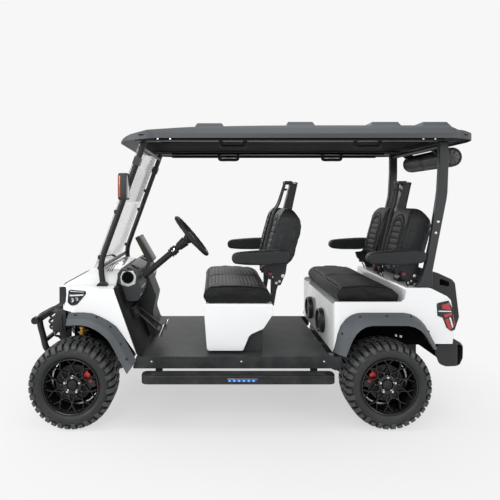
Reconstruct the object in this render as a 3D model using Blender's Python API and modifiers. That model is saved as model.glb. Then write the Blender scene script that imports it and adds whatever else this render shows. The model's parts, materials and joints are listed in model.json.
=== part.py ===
"""Lifted four-seat golf cart with two forward-facing rows, as an assembly of separate parts.

Metres. +X points forward, +Y to the driver's left, +Z up. The origin is on the ground, under the
middle of the overall box. Each part is one object, and a part that moves is parented to an empty
on its joint's axis.
"""

import math

import bmesh
import bpy
from mathutils import Matrix, Vector

# Driving dimensions
WHEELBASE = 2.150
FRONT_AXLE_X = 1.205
REAR_AXLE_X = FRONT_AXLE_X - WHEELBASE
TYRE_RADIUS = 0.292
WHEEL_CENTRE_Y = 0.510
WHEEL_SEGMENTS = 24
OVERALL_FRONT_X = 1.580
OVERALL_REAR_X = -1.580
KINGPIN_Y = 0.420
STEERING_ARM = 0.120
ROW_PITCH = 0.939
SEAT_DECK_Z = 0.8255
FLOOR_TOP_Z = 0.474
FLOOR_BOTTOM_Z = 0.452
BODY_HALF_WIDTH = 0.553
REAR_HALF_WIDTH = 0.530
ROOF_HALF_WIDTH = 0.660
ROOF_EDGE_Z = 1.965
SHELF_Z = 0.944
REAR_FACE_X = -0.590
STRUT_TOP_Z = 1.9675
COLUMN_TILT = math.radians(40)
WHEEL_HUB = Vector((0.406, 0.270, 1.285))
PANEL = 0.006
GAP = 0.0004
SIDES = (("left", 1), ("right", -1))

# Finishes: name, colour, roughness, metallic
FINISHES = {
    "white_paint": ((0.86, 0.87, 0.88), 0.18, 0.0),
    "charcoal_plastic": ((0.055, 0.058, 0.064), 0.42, 0.0),
    "black_plastic": ((0.018, 0.018, 0.019), 0.45, 0.0),
    "black_steel": ((0.014, 0.014, 0.015), 0.38, 0.6),
    "dash_grey": ((0.17, 0.17, 0.18), 0.55, 0.0),
    "floor_rubber": ((0.050, 0.050, 0.052), 0.70, 0.0),
    "seat_leather": ((0.030, 0.029, 0.028), 0.48, 0.0),
    "tyre_rubber": ((0.022, 0.022, 0.023), 0.80, 0.0),
    "rim_gloss_black": ((0.010, 0.010, 0.011), 0.15, 0.7),
    "cast_grey": ((0.20, 0.20, 0.21), 0.50, 0.8),
    "lamp_clear": ((0.30, 0.31, 0.33), 0.08, 0.0),
    "lamp_red": ((0.45, 0.02, 0.02), 0.10, 0.0),
    "windshield_clear": ((0.75, 0.76, 0.76), 0.05, 0.0),
    "battery_case": ((0.08, 0.08, 0.09), 0.60, 0.0),
}


def clear_scene():
    for obj in list(bpy.data.objects):
        bpy.data.objects.remove(obj, do_unlink=True)


def new_collection(name):
    collection = bpy.data.collections.new(name)
    bpy.context.scene.collection.children.link(collection)
    return collection


clear_scene()
PARTS = new_collection("four_seat_golf_cart")
CUTTERS = new_collection("cutters")


def finish(name):
    """The Principled material of one finish, made once."""
    found = bpy.data.materials.get(name)
    if found:
        return found
    colour, roughness, metallic = FINISHES[name]
    made = bpy.data.materials.new(name)
    made.use_nodes = True
    shader = made.node_tree.nodes["Principled BSDF"]
    shader.inputs["Base Color"].default_value = (*colour, 1.0)
    shader.inputs["Roughness"].default_value = roughness
    shader.inputs["Metallic"].default_value = metallic
    return made


def mesh_object(name, bm):
    mesh = bpy.data.meshes.new(name)
    bm.to_mesh(mesh)
    bm.free()
    obj = bpy.data.objects.new(name, mesh)
    CUTTERS.objects.link(obj)
    obj.hide_render = True
    obj.display_type = "WIRE"
    return obj


def part(obj, name, material):
    """Turns a working shape into a named part with its finish."""
    CUTTERS.objects.unlink(obj)
    PARTS.objects.link(obj)
    obj.hide_render = False
    obj.display_type = "TEXTURED"
    obj.name = name
    obj.data.name = name
    obj.data.materials.clear()
    obj.data.materials.append(finish(material))
    obj.data.shade_smooth()
    obj.data.set_sharp_from_angle(angle=math.radians(32))
    return obj


def combine(obj, other, operation):
    """Adds a live exact Boolean of obj with a helper shape."""
    modifier = obj.modifiers.new(operation.lower(), "BOOLEAN")
    modifier.operation = operation
    modifier.solver = "EXACT"
    modifier.object = other
    return obj


def join(obj, *others):
    for other in others:
        combine(obj, other, "UNION")
    return obj


def cut(obj, *others):
    for other in others:
        combine(obj, other, "DIFFERENCE")
    return obj


def keep_inside(obj, *others):
    for other in others:
        combine(obj, other, "INTERSECT")
    return obj


def bevelled(obj, width, segments=1, angle=40):
    modifier = obj.modifiers.new("bevel", "BEVEL")
    modifier.width = width
    modifier.segments = segments
    modifier.limit_method = "ANGLE"
    modifier.angle_limit = math.radians(angle)
    return obj


def box(low, high, name="box"):
    bm = bmesh.new()
    size = [abs(b - a) for a, b in zip(low, high)]
    centre = [(a + b) / 2 for a, b in zip(low, high)]
    bmesh.ops.create_cube(bm, size=1.0, matrix=Matrix.Translation(centre) @ Matrix.Diagonal((*size, 1.0)))
    return mesh_object(name, bm)


def aim(direction):
    """The rotation that turns +Z to a direction."""
    return Vector((0, 0, 1)).rotation_difference(Vector(direction)).to_matrix().to_4x4()


def rod(start, end, radius, segments=16, end_radius=None, name="rod"):
    """A cylinder or cone between two points."""
    start, end = Vector(start), Vector(end)
    bm = bmesh.new()
    bmesh.ops.create_cone(
        bm,
        cap_ends=True,
        segments=segments,
        radius1=radius,
        radius2=radius if end_radius is None else end_radius,
        depth=(end - start).length,
        matrix=Matrix.Translation((start + end) / 2) @ aim(end - start),
    )
    return mesh_object(name, bm)


def rounded(corners, step=30):
    """Points of an outline from corners (a, b, corner radius), with each corner turned into an arc."""
    points = []
    count = len(corners)
    for i, (a, b, radius) in enumerate(corners):
        here = Vector((a, b))
        before = Vector(corners[i - 1][:2]) - here
        after = Vector(corners[(i + 1) % count][:2]) - here
        turn = math.pi - before.angle(after)
        if radius <= 0 or turn < 1e-3:
            points.append(here)
            continue
        reach = min(radius * math.tan(turn / 2), 0.49 * before.length, 0.49 * after.length)
        radius = reach / math.tan(turn / 2)
        inward = (before.normalized() + after.normalized()).normalized()
        middle = here + inward * (radius / math.cos(turn / 2))
        start = here + before.normalized() * reach - middle
        pieces = max(1, round(math.degrees(turn) / step))
        sign = 1 if before.x * after.y - before.y * after.x < 0 else -1
        for k in range(pieces + 1):
            points.append(middle + Matrix.Rotation(sign * turn * k / pieces, 2) @ start)
    return [(p.x, p.y) for p in points]


def rounded_open(corners):
    """Points of an open outline whose round stretches turn in finer steps."""
    return rounded(corners, 15)


# Local x and y of an outline, and the way it is extruded, in each plane
PLANES = {
    "xz": Matrix(((1, 0, 0, 0), (0, 0, -1, 0), (0, 1, 0, 0), (0, 0, 0, 1))),
    "yz": Matrix(((0, 0, 1, 0), (1, 0, 0, 0), (0, 1, 0, 0), (0, 0, 0, 1))),
    "xy": Matrix.Identity(4),
}


def extrude(plane, low, high, *outlines, name="extrusion"):
    """A flat outline, with a hole for each further outline, extruded from low to high across its plane."""
    curve = bpy.data.curves.new(name, "CURVE")
    curve.dimensions = "2D"
    curve.fill_mode = "BOTH"
    curve.extrude = abs(high - low) / 2
    for outline in outlines:
        spline = curve.splines.new("POLY")
        spline.points.add(len(outline) - 1)
        spline.use_cyclic_u = True
        for point, (a, b) in zip(spline.points, outline):
            point.co = (a, b, 0, 1)
    along = (low + high) / 2
    shift = {"xz": (0, along, 0), "yz": (along, 0, 0), "xy": (0, 0, along)}[plane]
    return from_curve(curve, Matrix.Translation(shift) @ PLANES[plane])


def from_curve(curve, placed):
    """The closed mesh of a curve, with its caps welded and its placing applied."""
    obj = bpy.data.objects.new(curve.name, curve)
    CUTTERS.objects.link(obj)
    obj.matrix_world = placed
    bpy.context.view_layer.update()
    graph = bpy.context.evaluated_depsgraph_get()
    mesh = bpy.data.meshes.new_from_object(obj.evaluated_get(graph))
    bm = bmesh.new()
    bm.from_mesh(mesh)
    bmesh.ops.remove_doubles(bm, verts=bm.verts, dist=0.00002)
    bmesh.ops.transform(bm, matrix=obj.matrix_world, verts=bm.verts)
    bmesh.ops.recalc_face_normals(bm, faces=bm.faces)
    bpy.data.objects.remove(obj)
    bpy.data.meshes.remove(mesh)
    return mesh_object(curve.name, bm)


def bent(points, radius, pieces=4):
    """A 3-D polyline with each inner corner turned into an arc of about this radius."""
    points = [Vector(p) for p in points]
    route = [points[0]]
    for before, here, after in zip(points, points[1:], points[2:]):
        back, on = (before - here), (after - here)
        reach = min(radius, 0.45 * back.length, 0.45 * on.length)
        start, end = here + back.normalized() * reach, here + on.normalized() * reach
        for k in range(pieces + 1):
            t = k / pieces
            route.append((1 - t) ** 2 * start + 2 * t * (1 - t) * here + t * t * end)
    return route + [points[-1]]


def tube(points, radius, bend=0.05, resolution=2, pieces=4, name="tube"):
    """A round bar along a bent route."""
    curve = bpy.data.curves.new(name, "CURVE")
    curve.dimensions = "3D"
    curve.bevel_depth = radius
    curve.bevel_resolution = resolution
    curve.use_fill_caps = True
    route = bent(points, bend, pieces)
    spline = curve.splines.new("POLY")
    spline.points.add(len(route) - 1)
    for point, place in zip(spline.points, route):
        point.co = (*place, 1)
    return from_curve(curve, Matrix.Identity(4))


def turned(profile, centre, side=1, closed=False, segments=WHEEL_SEGMENTS, name="turned"):
    """A profile (radius, distance out along Y) turned about an axle, from the outer end to the inner one."""
    bm = bmesh.new()
    verts = [bm.verts.new((radius, 0, out)) for radius, out in profile]
    for a, b in zip(verts, verts[1:]):
        bm.edges.new((a, b))
    if closed:
        bm.edges.new((verts[-1], verts[0]))
    obj = mesh_object(name, bm)
    screw = obj.modifiers.new("screw", "SCREW")
    screw.axis = "Z"
    screw.steps = screw.render_steps = segments
    screw.use_merge_vertices = True
    screw.merge_threshold = 0.0001
    half_step = Matrix.Rotation(math.pi / segments, 4, "Z")
    upright = Matrix.Rotation(-math.pi / 2 * side, 4, "X")
    obj.matrix_world = Matrix.Translation(centre) @ upright @ half_step
    return obj


def resampled(points, count):
    """The same number of points, evenly spaced, along any polyline."""
    points = [Vector(p) for p in points]
    lengths = [(b - a).length for a, b in zip(points, points[1:])]
    total = sum(lengths)
    result = []
    for k in range(count):
        left = total * k / (count - 1)
        for (a, b), length in zip(zip(points, points[1:]), lengths):
            if left <= length + 1e-9:
                result.append(a.lerp(b, min(1.0, left / length)))
                break
            left -= length
        else:
            result.append(points[-1])
    return result


def sheet(rails, thickness, side=1, name="sheet"):
    """A sheet of even thickness stretched over rails of equally many points."""
    bm = bmesh.new()
    rows = [[bm.verts.new((p[0], p[1] * side, p[2])) for p in rail] for rail in rails]
    for upper, lower in zip(rows, rows[1:]):
        for k in range(len(upper) - 1):
            bm.faces.new((upper[k], upper[k + 1], lower[k + 1], lower[k]))
    obj = mesh_object(name, bm)
    solid = obj.modifiers.new("solidify", "SOLIDIFY")
    solid.thickness = thickness
    solid.offset = 0
    return obj


def joint_empty(name, place, children):
    """An empty on a joint's axis that carries the parts that move about it."""
    empty = bpy.data.objects.new(name, None)
    PARTS.objects.link(empty)
    empty.location = place
    bpy.context.view_layer.update()
    for child in children:
        child.parent = empty
        child.matrix_parent_inverse = empty.matrix_world.inverted()
    return empty


# ---------------------------------------------------------------- frame, floor and steps


def chassis_frame():
    """Two main rails, three outriggers a side and the cross members, in one welded frame."""
    top, bottom = FLOOR_BOTTOM_Z - GAP, 0.390
    frame = box((-1.300, 0.170, bottom), (1.305, 0.220, top), "chassis_frame")
    rails = [box((-1.300, -0.220, bottom), (1.305, -0.170, top))]
    for inner, outer in ((0.470, 0.510), (-0.510, -0.470)):
        rails.append(box((-0.560, inner, bottom + 0.012), (0.700, outer, top)))
    for x, half in ((1.280, 0.18), (0.680, 0.48), (0.080, 0.48), (-0.540, 0.48), (-1.275, 0.21)):
        rails.append(box((x - 0.020, -half, bottom + 0.006), (x + 0.020, half, top - 0.006)))
    join(frame, *rails)
    return part(frame, "chassis_frame", "black_steel")


# x and z of the toe board's front face, from the floor up
TOE_BOARD = ((0.757, FLOOR_BOTTOM_Z), (0.934, 0.947))


def floor_deck():
    """Moulded floor with its side sills, the toe board in front and the plinth of the front seat pod."""
    (x0, z0), (x1, z1) = TOE_BOARD
    thick = 0.031
    profile = rounded([
        (-0.562, z0, 0), (x0, z0, 0), (x1, z1, 0.004), (x1 - thick, z1 + 0.003, 0.004),
        (x0 - thick + 0.006, FLOOR_TOP_Z, 0.02), (-0.562, FLOOR_TOP_Z, 0),
    ])
    deck = extrude("xz", -0.545, 0.545, profile, name="floor_deck")
    sill = rounded([
        (-0.640, 0.392, 0.01), (0.800, 0.392, 0.01), (0.774, FLOOR_TOP_Z, 0.004),
        (-0.640, FLOOR_TOP_Z, 0.004),
    ])
    plinth = rounded([
        (0.275, FLOOR_TOP_Z - 0.01, 0), (0.275, 0.489, 0), (0.036, 0.489, 0), (-0.008, 0.596, 0),
        (-0.108, 0.636, 0.004), (-0.108, FLOOR_TOP_Z - 0.01, 0),
    ])
    join(
        deck,
        extrude("xz", 0.525, 0.548, sill),
        extrude("xz", -0.548, -0.525, sill),
        extrude("xz", -0.430, 0.430, plinth),
    )
    return part(deck, "floor_deck", "floor_rubber")


def side_step(label, side):
    """Running board with rounded ends, a tread inset and two brackets to the frame."""
    inner, outer = 0.562, 0.660
    plan = rounded([(-0.573, inner, 0.03), (0.725, inner, 0.03), (0.725, outer, 0.04),
                    (-0.573, outer, 0.04)])
    plan = [(x, y * side) for x, y in plan]
    board = extrude("xy", 0.326, 0.384, plan, name="side_step")
    bevelled(board, 0.010, 1, 60)
    inset = rounded([(-0.520, inner + 0.02, 0.01), (0.672, inner + 0.02, 0.01), (0.672, outer - 0.02, 0.01),
                     (-0.520, outer - 0.02, 0.01)])
    cut(board, extrude("xy", 0.380, 0.400, [(x, y * side) for x, y in inset]))
    for x in (0.620, -0.455):
        join(board, box((x - 0.025, 0.512 * side, 0.340), (x + 0.025, 0.580 * side, 0.368)))
        join(board, box((x - 0.025, 0.512 * side, 0.340), (x + 0.025, 0.5215 * side, 0.440)))
    return part(board, f"side_step_{label}", "charcoal_plastic")


# ---------------------------------------------------------------- front body

# x, z, corner radius of the front arch from its front foot over the wheel to its rear foot
FRONT_ARCH = [(1.285, 0.780, 0), (1.075, 0.780, 0.22), (0.903, 0.690, 0.22), (0.772, FLOOR_BOTTOM_Z, 0)]
FRONT_FLARE_TOP = [(1.232, 0.780, 0), (1.075, 0.780, 0.22), (0.903, 0.690, 0.22),
                   (0.772, FLOOR_BOTTOM_Z, 0)]
FRONT_FLARE_RIM = [(1.232, 0.710, 0), (1.095, 0.720, 0.20), (0.955, 0.632, 0.22), (0.823, 0.385, 0)]
# The same columns for the wheel-house liners under the arches
FRONT_LINER = [(1.236, 0.744, 0), (1.085, 0.746, 0.20), (0.930, 0.662, 0.20), (0.818, 0.470, 0)]
REAR_LINER = [(-0.612, 0.500, 0), (-0.655, 0.660, 0.20), (-0.740, 0.742, 0.16), (-1.110, 0.742, 0.16),
              (-1.192, 0.684, 0.20), (-1.262, 0.560, 0)]
REAR_ARCH = [(-0.592, 0.500, 0), (-0.630, 0.686, 0.20), (-0.722, 0.772, 0.16), (-1.124, 0.772, 0.16),
             (-1.212, 0.706, 0.20), (-1.292, 0.545, 0)]
REAR_FLARE_RIM = [(-0.648, 0.500, 0), (-0.702, 0.640, 0.16), (-0.775, 0.710, 0.13), (-1.100, 0.710, 0.13),
                   (-1.175, 0.662, 0.16), (-1.245, 0.545, 0)]


def front_cowl_solid(inset, name):
    """The cowl's outer form, or the same form drawn in by a panel's thickness."""
    base = inset * 12
    arch = rounded_open(FRONT_ARCH)
    foot_x = TOE_BOARD[0][0] + 0.0155 + inset
    upper = rounded([
        (foot_x, 0.492 - base, 0), (0.9355 + inset, 0.949, 0.02), (0.9290 + inset, 1.040 - inset, 0.02),
        (0.990, 1.064 - inset, 0.03), (1.160, 1.028 - inset, 0.30), (1.310, 0.950 - inset, 0.12),
        (1.352 - inset, 0.870, 0.06), (1.322 - inset, 0.780 - base, 0),
    ], 20)
    lower = [(x, z - base) for x, z in arch[1:-1]]
    half = BODY_HALF_WIDTH - inset
    body = extrude("xz", -half - 0.020, half + 0.020, upper + lower, name=name)
    right = [(half, 0.300, 0), (half, 0.934 - inset, 0.03), (half - 0.045, 0.948 - inset, 0.03),
             (0.450, 0.954 - inset, 0.02), (0.392, 1.016 - inset, 0.05), (0.290, 1.064 - inset, 0.20)]
    left = [(-y, z, r) for y, z, r in reversed(right)]
    front = rounded(right + left, 20)
    wide = half + 0.005
    plan_right = [(0.600, wide, 0), (1.200, wide, 0.10), (1.306 - inset, 0.470, 0.08),
                  (1.352 - inset, 0.300, 0.25)]
    plan_left = [(x, -y, r) for x, y, r in reversed(plan_right)]
    plan = rounded(plan_right + plan_left, 20)
    return keep_inside(body, extrude("yz", 0.600, 1.500, front), extrude("xy", 0.300, 1.100, plan))


# x, z, corner radius of the headlamp in the wing's side
HEADLAMP = [(1.238, 0.934, 0.008), (1.118, 0.926, 0.012), (1.120, 0.905, 0.008), (1.182, 0.832, 0.012),
            (1.222, 0.826, 0.015), (1.246, 0.850, 0.01)]


def grown(outline, gap):
    """An outline moved outwards by a small gap from its middle."""
    cx = sum(p[0] for p in outline) / len(outline)
    cz = sum(p[1] for p in outline) / len(outline)
    moved = []
    for x, z in outline:
        away = Vector((x - cx, z - cz))
        away *= 1 + gap / away.length
        moved.append((cx + away.x, cz + away.y))
    return moved


def front_cowl():
    """Bonnet, wings and nose in one thin shell that is open below and at the toe board."""
    cowl = front_cowl_solid(0.0, "front_cowl")
    cut(cowl, front_cowl_solid(PANEL, "cowl_inside"))
    lamp = grown(rounded(HEADLAMP), 0.0015)
    cut(cowl, extrude("xz", -0.60, -0.44, lamp), extrude("xz", 0.44, 0.60, lamp))
    cut(cowl, box((1.240, -0.462, 0.810), (1.400, 0.462, 0.940), "nose_opening"))
    return part(cowl, "front_cowl", "white_paint")


def front_fascia():
    """Black nose panel with its horizontal bars, set in the opening of the cowl."""
    low, high, half = 0.8115, 0.9385, 0.4605
    panel = box((1.265, -half, low), (1.272, half, high), "front_fascia")
    for row in range(6):
        z = low + 0.004 + row * 0.022
        bar = rounded([
            (1.268, -half + 0.001, 0), (1.303, -half + 0.001, 0.01), (1.352, -0.300, 0.20),
            (1.352, 0.300, 0.20), (1.303, half - 0.001, 0.01), (1.268, half - 0.001, 0),
        ], 30)
        join(panel, extrude("xy", z, z + 0.009, bar))
    for side in (1, -1):
        join(panel, box((1.268, (half - 0.007) * side, low + 0.001), (1.308, half * side, high - 0.001)))
    return part(panel, "front_fascia", "black_plastic")


def headlight(label, side):
    """Lamp body let into the wing, its lens just proud of the panel."""
    lamp = extrude("xz", 0.470 * side, 0.556 * side, rounded(HEADLAMP), name="headlight")
    bevelled(lamp, 0.002, 1, 60)
    return part(lamp, f"headlight_{label}", "lamp_clear")


def front_flare(label, side):
    """Arch trim: a band that leans out over the tyre, with a lip turned inwards."""
    outer = [(x, 0.560, z) for x, z in rounded_open(FRONT_FLARE_TOP)]
    inner = [(x, 0.628, z) for x, z in rounded_open(FRONT_FLARE_RIM)]
    return flare(f"front_flare_{label}", side, outer, inner, 16)


def rear_flare(label, side):
    outer = [(x, 0.538, z) for x, z in rounded_open(REAR_ARCH)]
    inner = [(x, 0.628, z) for x, z in rounded_open(REAR_FLARE_RIM)]
    return flare(f"rear_flare_{label}", side, outer, inner, 20)


def flare(name, side, outer, inner, count):
    outer, inner = resampled(outer, count), resampled(inner, count)
    crown = [a.lerp(b, 0.45) + Vector((0, 0.022, 0)) for a, b in zip(outer, inner)]
    lip = [p + Vector((0, -0.030, 0.004)) for p in inner]
    return part(sheet([outer, crown, inner, lip], 0.005, side), name, "charcoal_plastic")


def wheel_liner(name, path, half):
    """Black tray across both wheel houses, arched over the wheels."""
    line = rounded_open(path)
    rails = [[(x, y, z) for x, z in line] for y in (-half, half)]
    return part(sheet(rails, 0.004), name, "black_plastic")


def bumper_end(inset):
    """Side view of the bumper cover, or of the room inside it."""
    if not inset:
        return rounded([(1.240, 0.754, 0), (1.236, 0.768, 0.003), (1.285, 0.772, 0.01),
                        (1.336, 0.766, 0.02),
                        (1.358, 0.742, 0.02), (1.360, 0.606, 0.006), (1.288, 0.606, 0),
                        (1.288, 0.742, 0.01)])
    return rounded([(1.200, 0.700, 0), (1.296, 0.700, 0), (1.296, 0.758, 0), (1.333, 0.758, 0.014),
                    (1.352, 0.740, 0.014), (1.352, 0.500, 0), (1.200, 0.500, 0)])


def front_bumper():
    """Bumper cover with upright ends beside the wheels and an open grille of fins at the middle."""
    bumper = extrude("xz", -0.472, 0.472, bumper_end(0), name="front_bumper")
    cut(bumper, extrude("xz", -0.464, 0.464, bumper_end(1)))
    half = 0.246
    cheek = rounded([
        (1.354, 0.500, 0), (1.354, 0.712, 0), (1.402, 0.694, 0.015), (1.480, 0.634, 0.015),
        (1.488, 0.560, 0.02), (1.456, 0.498, 0.02),
    ])
    for side in (1, -1):
        join(bumper, extrude("xz", (half - 0.018) * side, half * side, cheek))
    join(bumper, box((1.3525, -half + 0.006, 0.502), (1.3585, half - 0.006, 0.640)))
    for row in range(5):
        z = 0.510 + row * 0.033
        front = 1.452 if row in (0, 4) else 1.470
        join(bumper, box((1.3555, -half + 0.006, z), (front, half - 0.006, z + 0.010)))
    return part(bumper, "front_bumper", "black_plastic")


def brush_guard():
    """Tubular guard: a cross bar with thick ends on two hoops down to the frame, and a lower bar."""
    bar_radius = 0.026
    bar_x = OVERALL_FRONT_X - bar_radius
    guard = rod((bar_x - 0.012, -0.330, 0.656), (bar_x - 0.012, 0.330, 0.656), 0.014, 12,
                name="brush_guard")
    for side in (1, -1):
        y = 0.300 * side
        hoop = [(1.3615, y, 0.733), (1.402, y, 0.750), (1.478, y, 0.716), (1.534, y, 0.668),
                (1.508, y, 0.540),
                (1.476, y, 0.445), (1.420, y * 0.72, 0.424), (1.3095, y * 0.65, 0.421)]
        join(guard, tube(hoop, 0.019, 0.045, 2, 2))
        join(guard, rod((bar_x, 0.318 * side, 0.668), (bar_x, 0.350 * side, 0.668), bar_radius, 16))
    join(guard, rod((1.500, -0.301, 0.503), (1.500, 0.301, 0.503), 0.014, 12))
    return part(guard, "brush_guard", "black_steel")


# ---------------------------------------------------------------- dashboard, steering and pedals


def dashboard():
    """Full-width dash on the toe board with a centre stack down to the floor, a screen and cup recesses."""
    slope = Vector((TOE_BOARD[1][0] - TOE_BOARD[0][0], TOE_BOARD[1][1] - TOE_BOARD[0][1])).normalized()
    behind = 0.034

    def toe(z):
        return TOE_BOARD[0][0] - behind + (z - TOE_BOARD[0][1]) * slope.x / slope.y

    shelf = rounded([
        (toe(0.830), 0.830, 0.01), (toe(0.955) - 0.002, 0.9535, 0), (0.926, 0.9535, 0),
        (0.9265, 1.034, 0.02),
        (0.880, 1.062, 0.02), (0.790, 1.010, 0.04), (0.757, 0.930, 0.03), (0.775, 0.835, 0.02),
    ])
    dash = extrude("xz", -0.440, 0.440, shelf, name="dashboard")
    stack = rounded([
        (toe(0.500) - 0.001, 0.500, 0), (toe(0.900), 0.900, 0), (0.850, 1.020, 0), (0.760, 0.985, 0.03),
        (0.690, 0.800, 0.03), (0.715, 0.690, 0.03), (0.700, 0.500, 0.01),
    ])
    join(dash, extrude("xz", -0.130, 0.130, stack))
    screen = rounded([
        (0.716, 1.070, 0.008), (0.833, 1.272, 0.008), (0.862, 1.256, 0.008), (0.765, 1.070, 0),
        (0.800, 0.975, 0), (0.770, 0.975, 0), (0.735, 1.062, 0.01),
    ])
    join(dash, extrude("xz", -0.105, 0.105, screen))
    for y in (0.360, 0.200, -0.250, -0.360):
        cut(dash, rod((0.845, y, 0.985), (0.845, y, 1.100), 0.036, 12))
    cut(dash, rod((0.850, 0.425, 0.985), (0.850, 0.470, 0.985), 0.040, 16))
    axis = Vector((math.cos(COLUMN_TILT), 0, -math.sin(COLUMN_TILT)))
    cut(dash, rod(WHEEL_HUB + axis * 0.300, WHEEL_HUB + axis * 0.475, 0.030, 16))
    return part(dash, "dashboard", "dash_grey")


def steering_column():
    """Column tube with its shroud below the wheel."""
    axis = Vector((math.cos(COLUMN_TILT), 0, -math.sin(COLUMN_TILT)))
    column = rod(WHEEL_HUB + axis * 0.070, WHEEL_HUB + axis * 0.470, 0.024, 16, name="steering_column")
    join(column, rod(WHEEL_HUB + axis * 0.062, WHEEL_HUB + axis * 0.130, 0.038, 16, 0.030))
    join(column, rod(WHEEL_HUB + axis * 0.155, WHEEL_HUB + axis * 0.190, 0.033, 16))
    stalk = WHEEL_HUB + axis * 0.172
    knob, tip = stalk + Vector((0.02, 0.09, 0.02)), stalk + Vector((0.01, 0.14, 0.03))
    join(column, tube([stalk, knob, tip], 0.006, 0.03, 1))
    return part(column, "steering_column", "black_plastic")


def steering_wheel():
    """Round rim on three spokes with a dished hub."""
    axis = Vector((-math.cos(COLUMN_TILT), 0, math.sin(COLUMN_TILT)))
    upright = Matrix.Translation(WHEEL_HUB) @ aim(axis)
    bm = bmesh.new()
    bmesh.ops.create_cone(bm, cap_ends=True, segments=20, radius1=0.030, radius2=0.048, depth=0.045,
                          matrix=upright @ Matrix.Translation((0, 0, -0.035)))
    hub = mesh_object("steering_wheel", bm)
    ring = []
    count = 24
    for k in range(count):
        turn = 2 * math.pi * k / count
        ring.append(upright @ Vector((0.176 * math.cos(turn), 0.176 * math.sin(turn), 0)))
    curve = bpy.data.curves.new("wheel_rim", "CURVE")
    curve.dimensions = "3D"
    curve.bevel_depth = 0.0145
    curve.bevel_resolution = 2
    spline = curve.splines.new("POLY")
    spline.points.add(count - 1)
    spline.use_cyclic_u = True
    for point, place in zip(spline.points, ring):
        point.co = (*place, 1)
    join(hub, from_curve(curve, Matrix.Identity(4)))
    for degrees in (80, 180, 280):
        turn = math.radians(degrees)
        inner = upright @ Vector((0.020 * math.cos(turn), 0.020 * math.sin(turn), -0.028))
        middle = upright @ Vector((0.090 * math.cos(turn), 0.090 * math.sin(turn), -0.022))
        outer = upright @ Vector((0.172 * math.cos(turn), 0.172 * math.sin(turn), 0))
        join(hub, tube([inner, middle, outer], 0.011, 0.04, 1, 2))
    return part(hub, "steering_wheel", "black_plastic")


def pedals():
    """Accelerator and brake pads on arms from one bracket on the toe board."""
    slope = (TOE_BOARD[1][0] - TOE_BOARD[0][0]) / (TOE_BOARD[1][1] - TOE_BOARD[0][1])

    def face(z):
        return TOE_BOARD[0][0] - 0.0345 + (z - TOE_BOARD[0][1]) * slope

    low_x, high_x, deep = face(0.700), face(0.780), 0.022
    bracket = [(low_x, 0.700), (high_x, 0.780), (high_x - deep, 0.780), (low_x - deep, 0.700)]
    body = extrude("xz", 0.170, 0.400, bracket, name="pedals")
    for y, reach, half in ((0.355, 0.120, 0.036), (0.220, 0.135, 0.045)):
        low = (face(0.560) - reach, y, 0.585)
        hinge, knee = (face(0.740) - 0.012, y, 0.740), (face(0.700) - 0.050, y, 0.700)
        join(body, tube([hinge, knee, low], 0.009, 0.05, 1, 2))
        pad = box((-half * 0.9, -half, -0.006), (half * 0.9, half, 0.006))
        pad.matrix_world = Matrix.Translation(low) @ Matrix.Rotation(math.radians(50), 4, "Y")
        join(body, pad)
    return part(body, "pedals", "black_steel")


# ---------------------------------------------------------------- windshield, struts and roof

# x and z of the front strut's centre line: foot, bend and top
STRUT_FOOT, STRUT_BEND, STRUT_HEAD = (1.020, 0.950), (1.040, 1.108), (0.728, STRUT_TOP_Z)


def on_strut(z, ahead=0.0):
    """X of the front strut's leaning part at a height."""
    (x0, z0), (x1, z1) = STRUT_BEND, STRUT_HEAD
    return x0 + (z - z0) * (x1 - x0) / (z1 - z0) + ahead


def windshield():
    """Two flat panes, one above the other, joined by the fold strip."""
    ahead = 0.028
    low, seam, high, half = 1.072, 1.530, 1.950, 0.470
    lean = [
        (on_strut(low, ahead), low), (on_strut(high, ahead), high),
        (on_strut(high, ahead) + 0.0053, high), (on_strut(low, ahead) + 0.0053, low),
    ]
    pane = extrude("xz", -half, half, lean, name="windshield")
    fold_x = on_strut(seam, ahead + 0.004)
    fold = rod((fold_x, -half, seam), (fold_x, half, seam), 0.008, 10)
    return part(join(pane, fold), "windshield", "windshield_clear")


def front_struts():
    """Two bent tubes from the bonnet's edge to the roof, with the rails between them and a clamp on each."""
    tubes = []
    for side in (1, -1):
        y = 0.476 * side
        tubes.append(tube([(STRUT_FOOT[0], y, STRUT_FOOT[1]), (STRUT_BEND[0], y, STRUT_BEND[1]),
                           (STRUT_HEAD[0], y, STRUT_HEAD[1])], 0.021, 0.07, 2, 4))
    frame = tubes[0]
    join(frame, tubes[1])
    for z, radius in ((1.074, 0.014), (1.925, 0.013)):
        join(frame, rod((on_strut(z) - 0.004, -0.476, z), (on_strut(z) - 0.004, 0.476, z), radius, 12))
    lean = Matrix.Rotation(math.atan2(STRUT_HEAD[0] - STRUT_BEND[0], STRUT_HEAD[1] - STRUT_BEND[1]), 4, "Y")
    for side in (1, -1):
        clamp = box((-0.025, -0.026, -0.028), (0.025, 0.026, 0.028), "clamp")
        clamp.matrix_world = Matrix.Translation((on_strut(1.826), 0.476 * side, 1.826)) @ lean
        foot = rounded([(0.984, 0.930, 0), (1.062, 0.930, 0), (1.060, 0.958, 0.004), (1.044, 0.974, 0.01),
                        (1.000, 0.974, 0.01), (0.986, 0.958, 0.004)])
        join(frame, clamp, extrude("xz", 0.452 * side, 0.500 * side, foot))
    cut(frame, box((0.5, -0.7, STRUT_TOP_Z - 0.0002), (1.2, 0.7, 2.2)),
        front_cowl_solid(-GAP, "cowl_outside"))
    return part(frame, "front_struts", "charcoal_plastic")


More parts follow.
